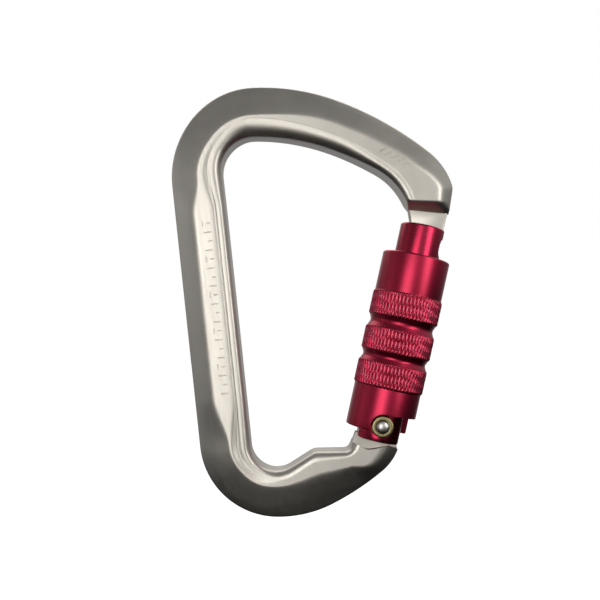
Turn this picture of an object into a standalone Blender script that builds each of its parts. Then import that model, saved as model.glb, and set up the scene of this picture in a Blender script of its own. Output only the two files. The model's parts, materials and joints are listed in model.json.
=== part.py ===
"""Locking carabiner: offset-D forged frame, gate with a twist-lock sleeve.

The carabiner stands in the X-Z plane with its front facing -Y: +Z runs up the
spine towards the nose, +X points from the spine towards the gate. The origin is
the highest point of the rope-bearing wall inside the top of the frame.
All lengths below are millimetres; the mesh is written in metres.
"""
import bpy
import bmesh
from math import asin, cos, degrees, pi, radians, sin
from mathutils import Vector

MM = 0.001
CLEAR = 9.0                  # cutters reach this far, beyond the material that they cut

# ---- frame outline ----
SPINE_OUTER_X = -29.95       # outer face of the spine, before the origin shift
SPINE_INNER_X = -16.7        # rope-side face of the spine
ORIGIN_X = -8.06             # rope-bearing point at the top of the basket
ORIGIN_Z = 43.09
OUTER_TOP_Z = 32.8           # where the straight spine ends at the top, outside
INNER_TOP_Z = 34.45
OUTER_BOTTOM_Z = -35.3
INNER_BOTTOM_Z = -36.44
# each piece is (radius, turn in degrees); radius 0 means a straight of that length
OUTER_TOP = [(24.3, 45.9), (21.4, 47.5), (56.5, 22.7), (85.4, 18.5), (18.2, 33.8), (2.8, 26.0),
             (0, 6.2)]
INNER_TOP = [(8.64, 95.5), (56.7, 20.5), (86.0, 8.4), (17.9, 43.3)]
OUTER_BOTTOM = [(-20.4, 83.1), (-31.1, 28.0), (-70.0, 12.6), (-13.9, 38.0)]
INNER_BOTTOM = [(-6.71, 116.0), (0, 6.3), (3.5, 31.0), (0, 6.9), (-1.9, 69.0), (0, 3.6)]

# ---- frame section ----
HALF_THICK = 5.5             # half thickness at the crest
EDGE_HALF = 2.0              # half width of the rounded outermost edge
EDGE_IN = 0.25               # how far in from the edge the outer bevel starts
BEVEL_BULGE = 0.25           # how much the outer bevel swells above a flat slope
SPINE_FACE_Z = (-22.7, 24.5)  # the spine's plain face lies between these heights
SHOULDER_OUTER = 2.9         # length of the sloped shoulder along the nose's outer side
SHOULDER_INNER = 2.3
SHOULDER_STEPS = 6
SHOULDER_ROUNDING = 0.4      # share of the nose shoulder taken by its rounded upper edge

# ---- gate ----
PIVOT_X = 17.35              # before the origin shift
PIVOT_Z = -34.4
GATE_TILT = radians(18.5)    # gate axis leans this far from +Z towards +X
BARREL_R = 5.8
BARREL_LOW = -4.25           # distances along the gate axis, from the pivot
BARREL_TOP = 52.7
BARREL_CHAMFER = 0.5
EAR_CORNER_R = 1.5
FORK_HALF = 2.3              # half width of the slot between the ears
FORK_TOP = 6.3
TENON_HALF = 2.0
TENON_TOP = 3.4
TENON_R = 5.42
TENON_ROOT = [(-5.3, -8.5), (-5.35, -0.4), (5.42, -5.5), (2.0, -9.5)]  # where it meets the frame
HINGE_HOLE_R = 1.55
RECESS_R = 7.75              # round clearance for the ears beside the tenon
RECESS_SIDE = -1.9
RECESS_LIFT = 0.8
CORNER_CUT = [(2.0, -4.9), (8.0, -4.9), (8.0, 4.0), (2.0, 4.0)]  # opens the recess outwards

# ---- nose ----
NECK_HALF = 1.5
NECK_OUTLINE = [(-3.5, 49.4), (5.3, 49.4), (5.3, 58.6), (-5.4, 58.6), (-4.95, 56.4), (-3.95, 53.9),
                (-3.6, 53.1)]
HEAD_HALF = 2.8
HEAD_SIDES = (-3.4, 4.6)
HEAD_SPAN = (46.3, 49.9)
KEY_NECK_HALF = 1.9
KEY_NECK_LOW = 50.3
KEY_WINDOW_HALF = 3.2
KEY_WINDOW_LOW = 45.6
KEY_BACK = -3.8
KEY_WINDOW_BACK = -4.1
KEY_CORNER_R = 1.6

# ---- hinge hardware ----
RIVET_R = 1.45
RIVET_HEAD_R = 1.65
RIVET_FRONT = -7.85
RIVET_DOME = 0.75
RIVET_REAR = 5.25
REAR_HEAD_R = 2.2
REAR_HEAD_DEPTH = 1.1
RING_R = 2.8
RING_HOLE_R = 1.78
RING_FACE = -7.7
RING_SEAT = -5.0

# ---- gate spring and its plunger ----
PLUNGER_SIDE = -1.8
PLUNGER_R = 1.7
PLUNGER_TIP = 3.75
PLUNGER_SHOULDER = 12.0
PLUNGER_TAIL_R = 0.8
PLUNGER_TAIL = 16.0
GATE_BORE_R = 2.0
GATE_BORE_END = 27.0
GATE_SPRING = (12.4, 26.6)
GATE_SPRING_R = 1.45
GATE_WIRE_R = 0.28
GATE_COILS = 9

# ---- locking sleeve ----
SLEEVE_BORE_R = 6.1
SLEEVE_R = 8.75
SLEEVE_TOP = 44.6
SKIRT_LOW = -1.6
NOTCH_LEVEL = 3.25
SEGMENT_INNER_R = 5.0        # the cutters for the notch, relief and track start inside the bore
NOTCH_START = -92.0
NOTCH_END = 28.0             # degrees round the gate axis, 0 faces outward, 90 the back
POCKET_R = 3.3
RELIEF_ANGLES = (198.0, 250.0)
RELIEF_R = 7.9
RELIEF_TOP = 2.2
BAND_R = 9.1
BANDS = [(9.5, 16.0), (18.5, 24.9), (27.7, 34.3)]
WAIST_R = 8.25
CAVITY_R = 7.4
CAVITY_LOW = 11.3
TRACK_R = 7.6
TRACK_SPAN = (7.3, 9.7)
TRACK_ANGLES = (76.0, 192.0)

# ---- pieces inside the sleeve ----
GUIDE_PIN_R = 1.0
GUIDE_PIN_HEIGHT = 8.5
GUIDE_PIN_REACH = 7.3
GUIDE_PIN_DEPTH = 3.6
LOWER_RING = (11.7, 13.1, 6.1, 7.25)
BUSH = (40.7, 44.4, 6.15, 7.3)
CLIP = (39.3, 40.2, 5.45, 7.2)
CLIP_GROOVE = (39.2, 40.3, 5.35)
CLIP_GAP = 70.0
SLEEVE_SPRING = (13.9, 38.4)
SLEEVE_SPRING_R = 6.77
SLEEVE_WIRE_R = 0.4
SLEEVE_COILS = 8

for old in list(bpy.data.objects):
    bpy.data.objects.remove(old, do_unlink=True)


# ---------------------------------------------------------------- helpers
def material(name, colour, metallic, roughness):
    mat = bpy.data.materials.new(name)
    mat.use_nodes = True
    bsdf = mat.node_tree.nodes["Principled BSDF"]
    bsdf.inputs["Base Color"].default_value = (*colour, 1.0)
    bsdf.inputs["Metallic"].default_value = metallic
    bsdf.inputs["Roughness"].default_value = roughness
    mat.diffuse_color = (*colour, 1.0)
    return mat


GREY = material("grey_anodised", (0.56, 0.555, 0.53), 1.0, 0.34)
RED = material("red_anodised", (0.42, 0.012, 0.065), 1.0, 0.3)
DARK_RED = material("red_anodised_barrel", (0.45, 0.014, 0.075), 1.0, 0.26)
STEEL = material("polished_steel", (0.62, 0.62, 0.63), 1.0, 0.22)
BRASS = material("brass", (0.42, 0.36, 0.19), 1.0, 0.34)
SPRING_STEEL = material("spring_steel", (0.35, 0.35, 0.36), 1.0, 0.35)
BRONZE = material("bearing_bronze", (0.43, 0.27, 0.13), 1.0, 0.42)
BLACK_STEEL = material("black_steel", (0.08, 0.08, 0.085), 1.0, 0.45)


def gate_to_world(side, across, along):
    """A point given by its sideways, depth and lengthwise distances in the gate."""
    x = PIVOT_X - ORIGIN_X + side * cos(GATE_TILT) + along * sin(GATE_TILT)
    z = PIVOT_Z - ORIGIN_Z - side * sin(GATE_TILT) + along * cos(GATE_TILT)
    return Vector((x, across, z))


def frame_to_world(x, y, z):
    return Vector((x - ORIGIN_X, y, z - ORIGIN_Z))


def new_object(name, verts, faces, mat, origin):
    """One mesh in world millimetres, stored in metres about the given origin."""
    mesh = bpy.data.meshes.new(name)
    mesh.from_pydata([(Vector(v) - origin) * MM for v in verts], [], faces)
    obj = bpy.data.objects.new(name, mesh)
    bpy.context.scene.collection.objects.link(obj)
    obj.location = origin * MM
    if mat is not None:
        mesh.materials.append(mat)
    work = bmesh.new()
    work.from_mesh(mesh)
    bmesh.ops.recalc_face_normals(work, faces=work.faces)
    work.to_mesh(mesh)
    work.free()
    return obj


def bridged(rings, closed=False):
    """Skin a list of equal rings; the ends are capped unless the list is closed."""
    count = len(rings[0])
    verts = [p for ring in rings for p in ring]
    faces = []
    spans = len(rings) if closed else len(rings) - 1
    for i in range(spans):
        a = i * count
        b = ((i + 1) % len(rings)) * count
        for j in range(count):
            k = (j + 1) % count
            faces.append((a + j, a + k, b + k, b + j))
    if not closed:
        faces.append(tuple(reversed(range(count))))
        faces.append(tuple(range(len(verts) - count, len(verts))))
    return verts, faces


def turned(name, profile, mat, to_world, origin, steps=48):
    """Turn a closed profile of (radius, along) points about the gate axis."""
    rings = []
    for i in range(steps):
        a = 2 * pi * i / steps
        rings.append([to_world(r * cos(a), r * sin(a), t) for r, t in profile])
    verts, faces = bridged(rings, closed=True)
    return new_object(name, verts, faces, mat, origin)


def solid_turned(name, profile, mat, to_world, origin, steps=32):
    """Turn an open profile that starts and ends on the axis."""
    verts = [to_world(0, 0, profile[0][1])]
    for r, t in profile[1:-1]:
        for i in range(steps):
            a = 2 * pi * i / steps
            verts.append(to_world(r * cos(a), r * sin(a), t))
    verts.append(to_world(0, 0, profile[-1][1]))
    last = len(verts) - 1
    rows = len(profile) - 2
    faces = []
    for i in range(steps):
        k = (i + 1) % steps
        faces.append((0, 1 + k, 1 + i))
        for row in range(rows - 1):
            a = 1 + row * steps
            b = a + steps
            faces.append((a + i, a + k, b + k, b + i))
        faces.append((last, last - steps + i, last - steps + k))
    return new_object(name, verts, faces, mat, origin)


def plate(name, outline, half, to_world, mat=None, origin=Vector((0, 0, 0)), low=None):
    """Extrude a flat outline of (side, along) points across the thickness."""
    near = -half if low is None else low
    rings = [[to_world(s, near, t) for s, t in outline], [to_world(s, half, t) for s, t in outline]]
    verts, faces = bridged(rings)
    return new_object(name, verts, faces, mat, origin)


def rounded_outline(points, radii, steps=5):
    """Round each corner of a polygon to its radius."""
    out = []
    n = len(points)
    for i in range(n):
        p = Vector(points[i])
        r = radii[i]
        if r == 0:
            out.append(tuple(p))
            continue
        before = (Vector(points[i - 1]) - p).normalized()
        after = (Vector(points[(i + 1) % n]) - p).normalized()
        half = before.angle(after) / 2
        reach = r / sin(half) * cos(half)
        centre = p + (before + after).normalized() * (r / sin(half))
        start = p + before * reach - centre
        turn = start.angle_signed(p + after * reach - centre)
        for k in range(steps + 1):
            a = -turn * k / steps
            out.append((centre.x + start.x * cos(a) - start.y * sin(a),
                        centre.y + start.x * sin(a) + start.y * cos(a)))
    return out


def combine(target, other, operation):
    """Join or cut one solid with another and keep the result as the target's mesh."""
    other.hide_render = True
    other.display_type = 'WIRE'
    step = target.modifiers.new("step", 'BOOLEAN')
    step.operation = operation
    step.solver = 'EXACT'
    step.object = other
    depsgraph = bpy.context.evaluated_depsgraph_get()
    result = bpy.data.meshes.new_from_object(target.evaluated_get(depsgraph))
    target.modifiers.clear()
    target.data = result
    bpy.data.objects.remove(other, do_unlink=True)


def finish(obj, sharp_angle=32.0):
    """Merge coincident points, tidy the flat faces and shade curved ones smooth."""
    work = bmesh.new()
    work.from_mesh(obj.data)
    bmesh.ops.remove_doubles(work, verts=work.verts, dist=0.000004)
    bmesh.ops.dissolve_degenerate(work, edges=work.edges, dist=0.000002)
    bmesh.ops.triangulate(work, faces=[f for f in work.faces if len(f.verts) > 4])
    bmesh.ops.recalc_face_normals(work, faces=work.faces)
    work.to_mesh(obj.data)
    work.free()
    obj.data.shade_smooth()
    obj.data.set_sharp_from_angle(angle=radians(sharp_angle))


# ---------------------------------------------------------------- frame outline
class Outline:
    """A run of straights and arcs; positive radii turn clockwise."""

    def __init__(self, x, z, heading, pieces):
        self.pieces = []
        self.length = 0.0
        for radius, amount in pieces:
            size = amount if radius == 0 else abs(radius) * radians(amount)
            self.pieces.append((self.length, x, z, heading, radius, size))
            x, z, heading = self.step(x, z, heading, radius, size)
            self.length += size

    @staticmethod
    def step(x, z, heading, radius, size):
        if radius == 0:
            return x + size * cos(heading), z + size * sin(heading), heading
        turn = size / radius
        cx = x + radius * sin(heading)
        cz = z - radius * cos(heading)
        new = heading - turn
        return cx - radius * sin(new), cz + radius * cos(new), new

    def at(self, distance):
        for start, x, z, heading, radius, size in reversed(self.pieces):
            if distance >= start - 1e-9:
                break
        x, z, heading = self.step(x, z, heading, radius, distance - start)
        return Vector((x, z))

    def end_of(self, index):
        return self.pieces[index][0] + self.pieces[index][5]

    def at_turn(self, wanted):
        """How far along the outline its heading has turned by that many degrees."""
        turned_so_far = 0.0
        for start, x, z, heading, radius, size in self.pieces:
            turn = 0.0 if radius == 0 else degrees(size / abs(radius))
            if turned_so_far + turn >= wanted:
                return start + radians(wanted - turned_so_far) * abs(radius)
            turned_so_far += turn
        return self.length


outer_top = Outline(SPINE_OUTER_X, OUTER_TOP_Z, pi / 2, OUTER_TOP)
inner_top = Outline(SPINE_INNER_X, INNER_TOP_Z, pi / 2, INNER_TOP)
outer_bottom = Outline(SPINE_OUTER_X, OUTER_BOTTOM_Z, -pi / 2, OUTER_BOTTOM)
inner_bottom = Outline(SPINE_INNER_X, INNER_BOTTOM_Z, -pi / 2, INNER_BOTTOM)


# A face is (bevel width, facet end, groove depth, groove width, bead drop, bead width,
# half thickness, half height of the rope-side wall), measured in from the outer edge
# on a bar as wide as the spine.
SPINE_WIDTH = SPINE_INNER_X - SPINE_OUTER_X
SPINE_FACE = (5.0, 10.65, 0.3, 0.5, 0.16, 0.85, HALF_THICK, 3.6)
LOW_TAPER = (8.0, 8.75, 0.6, 2.4, 0.3, 0.5, HALF_THICK, 3.0)
HIGH_TAPER = (7.0, 8.9, 0.42, 1.5, 0.22, 0.6, HALF_THICK, 3.0)
LOW_CORNER = (8.5, 9.4, 0.3, 2.0, 0.25, 0.3, HALF_THICK - 0.1, 3.4)
HIGH_CORNER = (8.0, 9.2, 0.18, 1.2, 0.18, 0.2, HALF_THICK, 2.9)
ARC_FACE = (8.1, 8.8, 0.04, 0.3, 0.05, 0.3, HALF_THICK, 2.4)
ARC_END_FACE = (6.3, 9.6, 0.04, 0.3, 0.05, 0.3, HALF_THICK, 2.8)
NOSE_FACE = (5.0, 10.7, 0.04, 0.4, 0.06, 0.5, HALF_THICK - 0.15, 3.6)
TIP_FACE = (2.6, 11.0, 0.04, 0.4, 0.06, 0.4, HALF_THICK - 0.35, 3.9)
SHOULDER_FACE = (2.6, 11.0, 0.02, 0.4, 0.03, 0.4, 1.75, 1.35)
LOW_FACE = (8.9, 10.6, 0.04, 0.3, 0.05, 0.3, HALF_THICK, 3.3)
HUMP_FACE = (7.8, 11.0, 0.02, 0.3, 0.03, 0.3, HALF_THICK, 3.5)
HINGE_FACE = (3.9, 10.8, 0.02, 0.3, 0.03, 0.3, HALF_THICK - 0.05, 3.7)

# A rib is (distance along the outer curve, along the inner curve, face, steps to the next rib).
BOTTOM_RIBS = [
    (outer_bottom.length, inner_bottom.length, HINGE_FACE, 4),
    (outer_bottom.end_of(2) + 0.5, inner_bottom.end_of(4), HINGE_FACE, 3),
    (outer_bottom.end_of(2) - 8.0, inner_bottom.end_of(3), HUMP_FACE, 3),
    (outer_bottom.end_of(1) - 1.0, inner_bottom.end_of(2), HUMP_FACE, 3),
    (outer_bottom.end_of(0) + 8.8, inner_bottom.end_of(1), HUMP_FACE, 4),
    (outer_bottom.at_turn(90), inner_bottom.at_turn(90), LOW_FACE, 6),
    (outer_bottom.at_turn(45), inner_bottom.at_turn(45), LOW_CORNER, 6),
    (0.0, 0.0, LOW_TAPER, 0),
]
SPINE_RIBS = [
    (OUTER_BOTTOM_Z, INNER_BOTTOM_Z, LOW_TAPER, 6),
    (SPINE_FACE_Z[0], SPINE_FACE_Z[0], SPINE_FACE, 5),
    (SPINE_FACE_Z[1], SPINE_FACE_Z[1], SPINE_FACE, 5),
    (OUTER_TOP_Z, INNER_TOP_Z, HIGH_TAPER, 0),
]
TOP_RIBS = [
    (0.0, 0.0, HIGH_TAPER, 6),
    (outer_top.at_turn(45), inner_top.at_turn(45), HIGH_CORNER, 6),
    (outer_top.at_turn(90), inner_top.at_turn(90), ARC_FACE, 5),
    (outer_top.end_of(2), inner_top.end_of(1), ARC_END_FACE, 6),
    (outer_top.end_of(3), inner_top.end_of(2) + 2.8, NOSE_FACE, 6),
    (outer_top.end_of(5), inner_top.end_of(3) - 4.0, TIP_FACE, 2),
    (outer_top.length - SHOULDER_OUTER, inner_top.length - SHOULDER_INNER, TIP_FACE, 0),
]


def spine_line(x):
    """The straight spine, measured by its height instead of a distance."""
    return lambda z: Vector((x, z))


RUNS = [
    (outer_bottom.at, inner_bottom.at, BOTTOM_RIBS),
    (spine_line(SPINE_OUTER_X), spine_line(SPINE_INNER_X), SPINE_RIBS),
    (outer_top.at, inner_top.at, TOP_RIBS),
]


def smooth(share):
    return share * share * (3 - 2 * share)


def slope(share):
    """A soft start that runs into a straight slope."""
    a = SHOULDER_ROUNDING
    if share < a:
        return share * share / (a * (2 - a))
    return (2 * share - a) / (2 - a)


def blended(face, after, share):
    return tuple(a + (b - a) * share for a, b in zip(face, after))


def section(width, face):
    """Half of the section: (distance in from the outer edge, half thickness)."""
    bevel, facet_end, groove, groove_width, bead, bead_width, thick, wall = face
    scale = width / SPINE_WIDTH
    bevel = bevel * scale
    facet_end = facet_end * scale
    edge = min(EDGE_HALF, thick * 0.6)
    points = [(0.0, edge * 0.7)]
    for k in range(5):
        t = k / 4
        rise = t + BEVEL_BULGE * t * (1 - t)
        points.append((EDGE_IN + (bevel - EDGE_IN) * t, edge + (thick - edge) * rise))
    points.append((facet_end, thick))
    points.append((facet_end + groove_width * 0.5, thick - groove))
    points.append((facet_end + groove_width, thick - bead))
    round_start = facet_end + groove_width + bead_width
    for k in range(4):
        a = pi / 2 * k / 3
        points.append((round_start + (width - round_start) * sin(a), wall + (thick - bead - wall) * cos(a)))
    return points


def frame_ring(outer, inner, face):
    across = inner - outer
    width = across.length
    across.normalize()
    half = section(width, face)
    ring = []
    for d, y in half:
        ring.append(frame_to_world(outer.x + across.x * d, y, outer.y + across.y * d))
    for d, y in reversed(half):
        ring.append(frame_to_world(outer.x + across.x * d, -y, outer.y + across.y * d))
    return ring


rings = []
for outer_at, inner_at, ribs in RUNS:
    for rib, after in zip(ribs, ribs[1:]):
        for k in range(rib[3]):
            share = k / rib[3]
            outer = outer_at(rib[0] + (after[0] - rib[0]) * share)
            inner = inner_at(rib[1] + (after[1] - rib[1]) * share)
            rings.append(frame_ring(outer, inner, blended(rib[2], after[2], smooth(share))))
for k in range(SHOULDER_STEPS + 1):
    share = k / SHOULDER_STEPS
    outer = outer_top.at(outer_top.length - SHOULDER_OUTER * (1 - share))
    inner = inner_top.at(inner_top.length - SHOULDER_INNER * (1 - share))
    rings.append(frame_ring(outer, inner, blended(TIP_FACE, SHOULDER_FACE, slope(share))))
verts, faces = bridged(rings)
frame = new_object("frame", verts, faces, GREY, Vector((0, 0, 0)))

# round clearance for the ears on both faces, leaving the tenon between them
recess = [(RECESS_SIDE + RECESS_R * cos(2 * pi * k / 40), RECESS_LIFT + RECESS_R * sin(2 * pi * k / 40))
          for k in range(40)]
for low, high in ((-CLEAR, -TENON_HALF), (TENON_HALF, CLEAR)):
    combine(frame, plate("cut", recess, high, gate_to_world, low=low), 'DIFFERENCE')
    combine(frame, plate("cut", CORNER_CUT, high, gate_to_world, low=low), 'DIFFERENCE')

# tenon: flat top for the plunger, round corners about the hinge
tenon = list(TENON_ROOT[:2])
left = degrees(asin(TENON_TOP / TENON_R))
for k in range(5):
    a = radians(180.0 - left * (k + 0.6) / 4.6)
    tenon.append((TENON_R * cos(a), TENON_R * sin(a)))
for k in range(5):
    a = radians(left * (4 - k) / 4)
    tenon.append((TENON_R * cos(a), TENON_R * sin(a)))
tenon += TENON_ROOT[2:]
combine(frame, plate("tenon", tenon, TENON_HALF, gate_to_world), 'UNION')
hinge_hole = [(HINGE_HOLE_R * cos(2 * pi * k / 28), HINGE_HOLE_R * sin(2 * pi * k / 28)) for k in range(28)]
combine(frame, plate("cut", hinge_hole, CLEAR, gate_to_world), 'DIFFERENCE')

# nose: flat neck and the wider head that the gate's keyhole holds
combine(frame, plate("neck", NECK_OUTLINE, NECK_HALF, gate_to_world), 'UNION')
head_section = rounded_outline([(-HEAD_HALF, HEAD_SPAN[0]), (HEAD_HALF, HEAD_SPAN[0]),
                                (HEAD_HALF, HEAD_SPAN[1]), (-HEAD_HALF, HEAD_SPAN[1])],
                               [1.2, 1.2, 1.2, 1.2], 4)
head_rings = [[gate_to_world(side, y, t) for y, t in head_section] for side in HEAD_SIDES]
verts, faces = bridged(head_rings)
combine(frame, new_object("head", verts, faces, None, Vector((0, 0, 0))), 'UNION')
finish(frame, 28.0)

# ---------------------------------------------------------------- gate barrel
pivot = gate_to_world(0, 0, 0)
barrel = solid_turned("gate_barrel",
                      [(0, BARREL_LOW), (BARREL_R - 0.25, BARREL_LOW), (BARREL_R, BARREL_LOW + 0.25),
                       (BARREL_R, CLIP_GROOVE[0]), (CLIP_GROOVE[2], CLIP_GROOVE[0]),
                       (CLIP_GROOVE[2], CLIP_GROOVE[1]), (BARREL_R, CLIP_GROOVE[1]),
                       (BARREL_R, BARREL_TOP - BARREL_CHAMFER),
                       (BARREL_R - BARREL_CHAMFER, BARREL_TOP), (0, BARREL_TOP)],
                      DARK_RED, gate_to_world, pivot, 36)
# ear corners rounded in the plane of the carabiner
for sign in (-1, 1):
    corner = [(sign * (BARREL_R + 1), BARREL_LOW - 1), (sign * (BARREL_R + 1), BARREL_LOW + EAR_CORNER_R)]
    for k in range(6):
        a = pi / 2 * k / 5
        corner.append((sign * (BARREL_R - EAR_CORNER_R + EAR_CORNER_R * cos(a)),
                       BARREL_LOW + EAR_CORNER_R - EAR_CORNER_R * sin(a)))
    corner.append((sign * (BARREL_R - EAR_CORNER_R), BARREL_LOW - 1))
    combine(barrel, plate("cut", corner, CLEAR, gate_to_world), 'DIFFERENCE')
fork = [(-CLEAR, BARREL_LOW - 2), (CLEAR, BARREL_LOW - 2), (CLEAR, FORK_TOP), (-CLEAR, FORK_TOP)]
combine(barrel, plate("cut", fork, FORK_HALF, gate_to_world), 'DIFFERENCE')


def bored(target, side, radius, low, high, steps=28):
    """Drill along the gate axis."""
    bore = [(0, low), (radius, low), (radius, high), (0, high)]
    tool = solid_turned("cut", bore, None, lambda s, y, t: gate_to_world(s + side, y, t),
                        Vector((0, 0, 0)), steps)
    combine(target, tool, 'DIFFERENCE')


def cross_to_world(side, along, across):
    """Turns a profile about the hinge axis instead of the gate axis."""
    return gate_to_world(side, across, along)


def cross_drilled(target, radius, low, high, steps=28):
    bore = [(0, low), (radius, low), (radius, high), (0, high)]
    combine(target, solid_turned("cut", bore, None, cross_to_world, Vector((0, 0, 0)), steps), 'DIFFERENCE')


bored(barrel, PLUNGER_SIDE, GATE_BORE_R, FORK_TOP - 0.5, GATE_BORE_END)
cross_drilled(barrel, RIVET_R + 0.05, -CLEAR, CLEAR)
cross_drilled(barrel, RING_R + 0.15, -CLEAR, RING_SEAT - 0.05)
cross_drilled(barrel, REAR_HEAD_R + 0.05, RIVET_REAR - REAR_HEAD_DEPTH - 0.05, CLEAR)
neck_slot = [(KEY_BACK, KEY_NECK_LOW - 0.5), (CLEAR, KEY_NECK_LOW - 0.5), (CLEAR, BARREL_TOP + 1),
             (KEY_BACK, BARREL_TOP + 1)]
combine(barrel, plate("cut", neck_slot, KEY_NECK_HALF, gate_to_world), 'DIFFERENCE')
window = rounded_outline([(-KEY_WINDOW_HALF, KEY_WINDOW_LOW), (KEY_WINDOW_HALF, KEY_WINDOW_LOW),
                          (KEY_WINDOW_HALF, KEY_NECK_LOW), (-KEY_WINDOW_HALF, KEY_NECK_LOW)],
                         [KEY_CORNER_R] * 4, 4)
window_rings = [[gate_to_world(side, y, t) for y, t in window] for side in (KEY_WINDOW_BACK, CLEAR)]
verts, faces = bridged(window_rings)
combine(barrel, new_object("cut", verts, faces, None, Vector((0, 0, 0))), 'DIFFERENCE')


def pin_to_world(side, across, along):
    """Turns a profile about the guide pin, which points out of the gate's back."""
    return gate_to_world(side, along, GUIDE_PIN_HEIGHT + across)


pin_hole_r = GUIDE_PIN_R + 0.04
pin_hole = [(0, GUIDE_PIN_DEPTH), (pin_hole_r, GUIDE_PIN_DEPTH), (pin_hole_r, CLEAR), (0, CLEAR)]
combine(barrel, solid_turned("cut", pin_hole, None, pin_to_world, Vector((0, 0, 0)), 20), 'DIFFERENCE')
finish(barrel)

# ---------------------------------------------------------------- hinge hardware
dome = []
for k in range(6):
    a = pi / 2 * k / 5
    dome.append((RIVET_HEAD_R * cos(a), RIVET_FRONT - RIVET_DOME * sin(a)))
rivet_profile = [(0, RIVET_REAR), (REAR_HEAD_R - 0.25, RIVET_REAR), (REAR_HEAD_R, RIVET_REAR - 0.25),
                 (REAR_HEAD_R, RIVET_REAR - REAR_HEAD_DEPTH), (RIVET_R, RIVET_REAR - REAR_HEAD_DEPTH),
                 (RIVET_R, RING_SEAT - 0.35), (RIVET_HEAD_R, RING_SEAT - 0.55)] + dome
rivet_profile[-1] = (0, RIVET_FRONT - RIVET_DOME)
finish(solid_turned("pivot_rivet", rivet_profile, STEEL, cross_to_world, pivot, 20))
ring_profile = [(RING_HOLE_R, RING_FACE + 0.1), (RING_HOLE_R + 0.1, RING_FACE), (RING_R - 0.35, RING_FACE),
                (RING_R - 0.1, RING_FACE + 0.12), (RING_R, RING_FACE + 0.4), (RING_R, RING_SEAT - 0.1),
                (RING_HOLE_R, RING_SEAT - 0.1)]
finish(turned("pivot_ring", ring_profile, BRASS, cross_to_world, pivot, 28))

# ---------------------------------------------------------------- plunger and gate spring
def plunger_to_world(side, across, along):
    return gate_to_world(side + PLUNGER_SIDE, across, along)


plunger_profile = [(0, PLUNGER_TIP)]
for k in range(1, 6):
    a = pi / 2 * k / 5
    plunger_profile.append((PLUNGER_R * sin(a), PLUNGER_TIP + PLUNGER_R * (1 - cos(a))))
plunger_profile += [(PLUNGER_R, PLUNGER_SHOULDER - 0.2), (PLUNGER_R - 0.2, PLUNGER_SHOULDER),
                    (PLUNGER_TAIL_R, PLUNGER_SHOULDER), (PLUNGER_TAIL_R, PLUNGER_TAIL - 0.2),
                    (PLUNGER_TAIL_R - 0.2, PLUNGER_TAIL), (0, PLUNGER_TAIL)]
plunger_origin = plunger_to_world(0, 0, PLUNGER_TIP)
finish(solid_turned("gate_plunger", plunger_profile, STEEL, plunger_to_world, plunger_origin, 16))


def coil(name, mean_r, wire_r, low, high, turns, per_turn, sides, mat, to_world, origin):
    """A round-wire spring whose end coils lie close together."""
    rings = []
    steps = turns * per_turn
    for i in range(steps + 1):
        share = i / steps
        a = 2 * pi * turns * share
        end_turns = 0.9 / turns
        if share < end_turns:
            level = share / end_turns * 2.2 * wire_r
        elif share > 1 - end_turns:
            level = (high - low - 2 * wire_r) - (1 - share) / end_turns * 2.2 * wire_r
        else:
            span = (high - low - 2 * wire_r) - 4.4 * wire_r
            level = 2.2 * wire_r + span * (share - end_turns) / (1 - 2 * end_turns)
        t = low + wire_r + level
        ring = []
        for j in range(sides):
            b = 2 * pi * j / sides
            r = mean_r + wire_r * cos(b)
            ring.append(to_world(r * cos(a), r * sin(a), t + wire_r * sin(b)))
        rings.append(ring)
    verts, faces = bridged(rings)
    return new_object(name, verts, faces, mat, origin)


finish(coil("gate_spring", GATE_SPRING_R, GATE_WIRE_R, GATE_SPRING[0], GATE_SPRING[1], GATE_COILS, 9, 4,
            SPRING_STEEL, plunger_to_world, plunger_to_world(0, 0, GATE_SPRING[1])), 60.0)

# ---------------------------------------------------------------- locking sleeve
profile = [(SLEEVE_BORE_R, SKIRT_LOW), (SLEEVE_R - 0.3, SKIRT_LOW), (SLEEVE_R, SKIRT_LOW + 0.3)]
profile.append((SLEEVE_R, BANDS[0][0] - 0.1))
for index, (low, high) in enumerate(BANDS):
    profile += [(BAND_R, low + 0.1), (BAND_R, high - 0.1)]
    if index < 2:
        after = BANDS[index + 1][0]
        profile += [(WAIST_R + 0.25, high + 0.2), (WAIST_R, (high + after) / 2), (WAIST_R + 0.25, after - 0.2)]
profile += [(SLEEVE_R, BANDS[2][1] + 0.1), (SLEEVE_R, SLEEVE_TOP - 0.4), (SLEEVE_R - 0.4, SLEEVE_TOP),
            (CAVITY_R, SLEEVE_TOP), (CAVITY_R, CAVITY_LOW), (SLEEVE_BORE_R, CAVITY_LOW)]
sleeve = turned("lock_sleeve", profile, RED, gate_to_world, pivot, 40)


def ring_segment(start, end, steps, low, top, outer_r):
    """A cutter bent round the gate axis between two angles in degrees."""
    inner_r = SEGMENT_INNER_R
    corners = ((inner_r, low), (outer_r, low), (outer_r, top), (inner_r, top))
    rings = []
    for k in range(steps + 1):
        a = radians(start + (end - start) * k / steps)
        rings.append([gate_to_world(r * cos(a), r * sin(a), t) for r, t in corners])
    verts, faces = bridged(rings)
    return new_object("cut", verts, faces, None, Vector((0, 0, 0)))


# notch: open from the pocket round the hinge ring to the sleeve's outer side
below = SKIRT_LOW - 2.0
combine(sleeve, ring_segment(NOTCH_START, NOTCH_END, 10, below, NOTCH_LEVEL, CLEAR + 1.0), 'DIFFERENCE')
pocket = [(1.0, below), (1.0, NOTCH_LEVEL)]
for k in range(9):
    a = radians(90.0 + 90.0 * k / 8)
    pocket.append((POCKET_R * cos(a), min(NOTCH_LEVEL, POCKET_R * sin(a))))
pocket.append((-POCKET_R, below))
combine(sleeve, plate("cut", pocket, -3.0, gate_to_world, low=-CLEAR - 1.0), 'DIFFERENCE')
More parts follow.
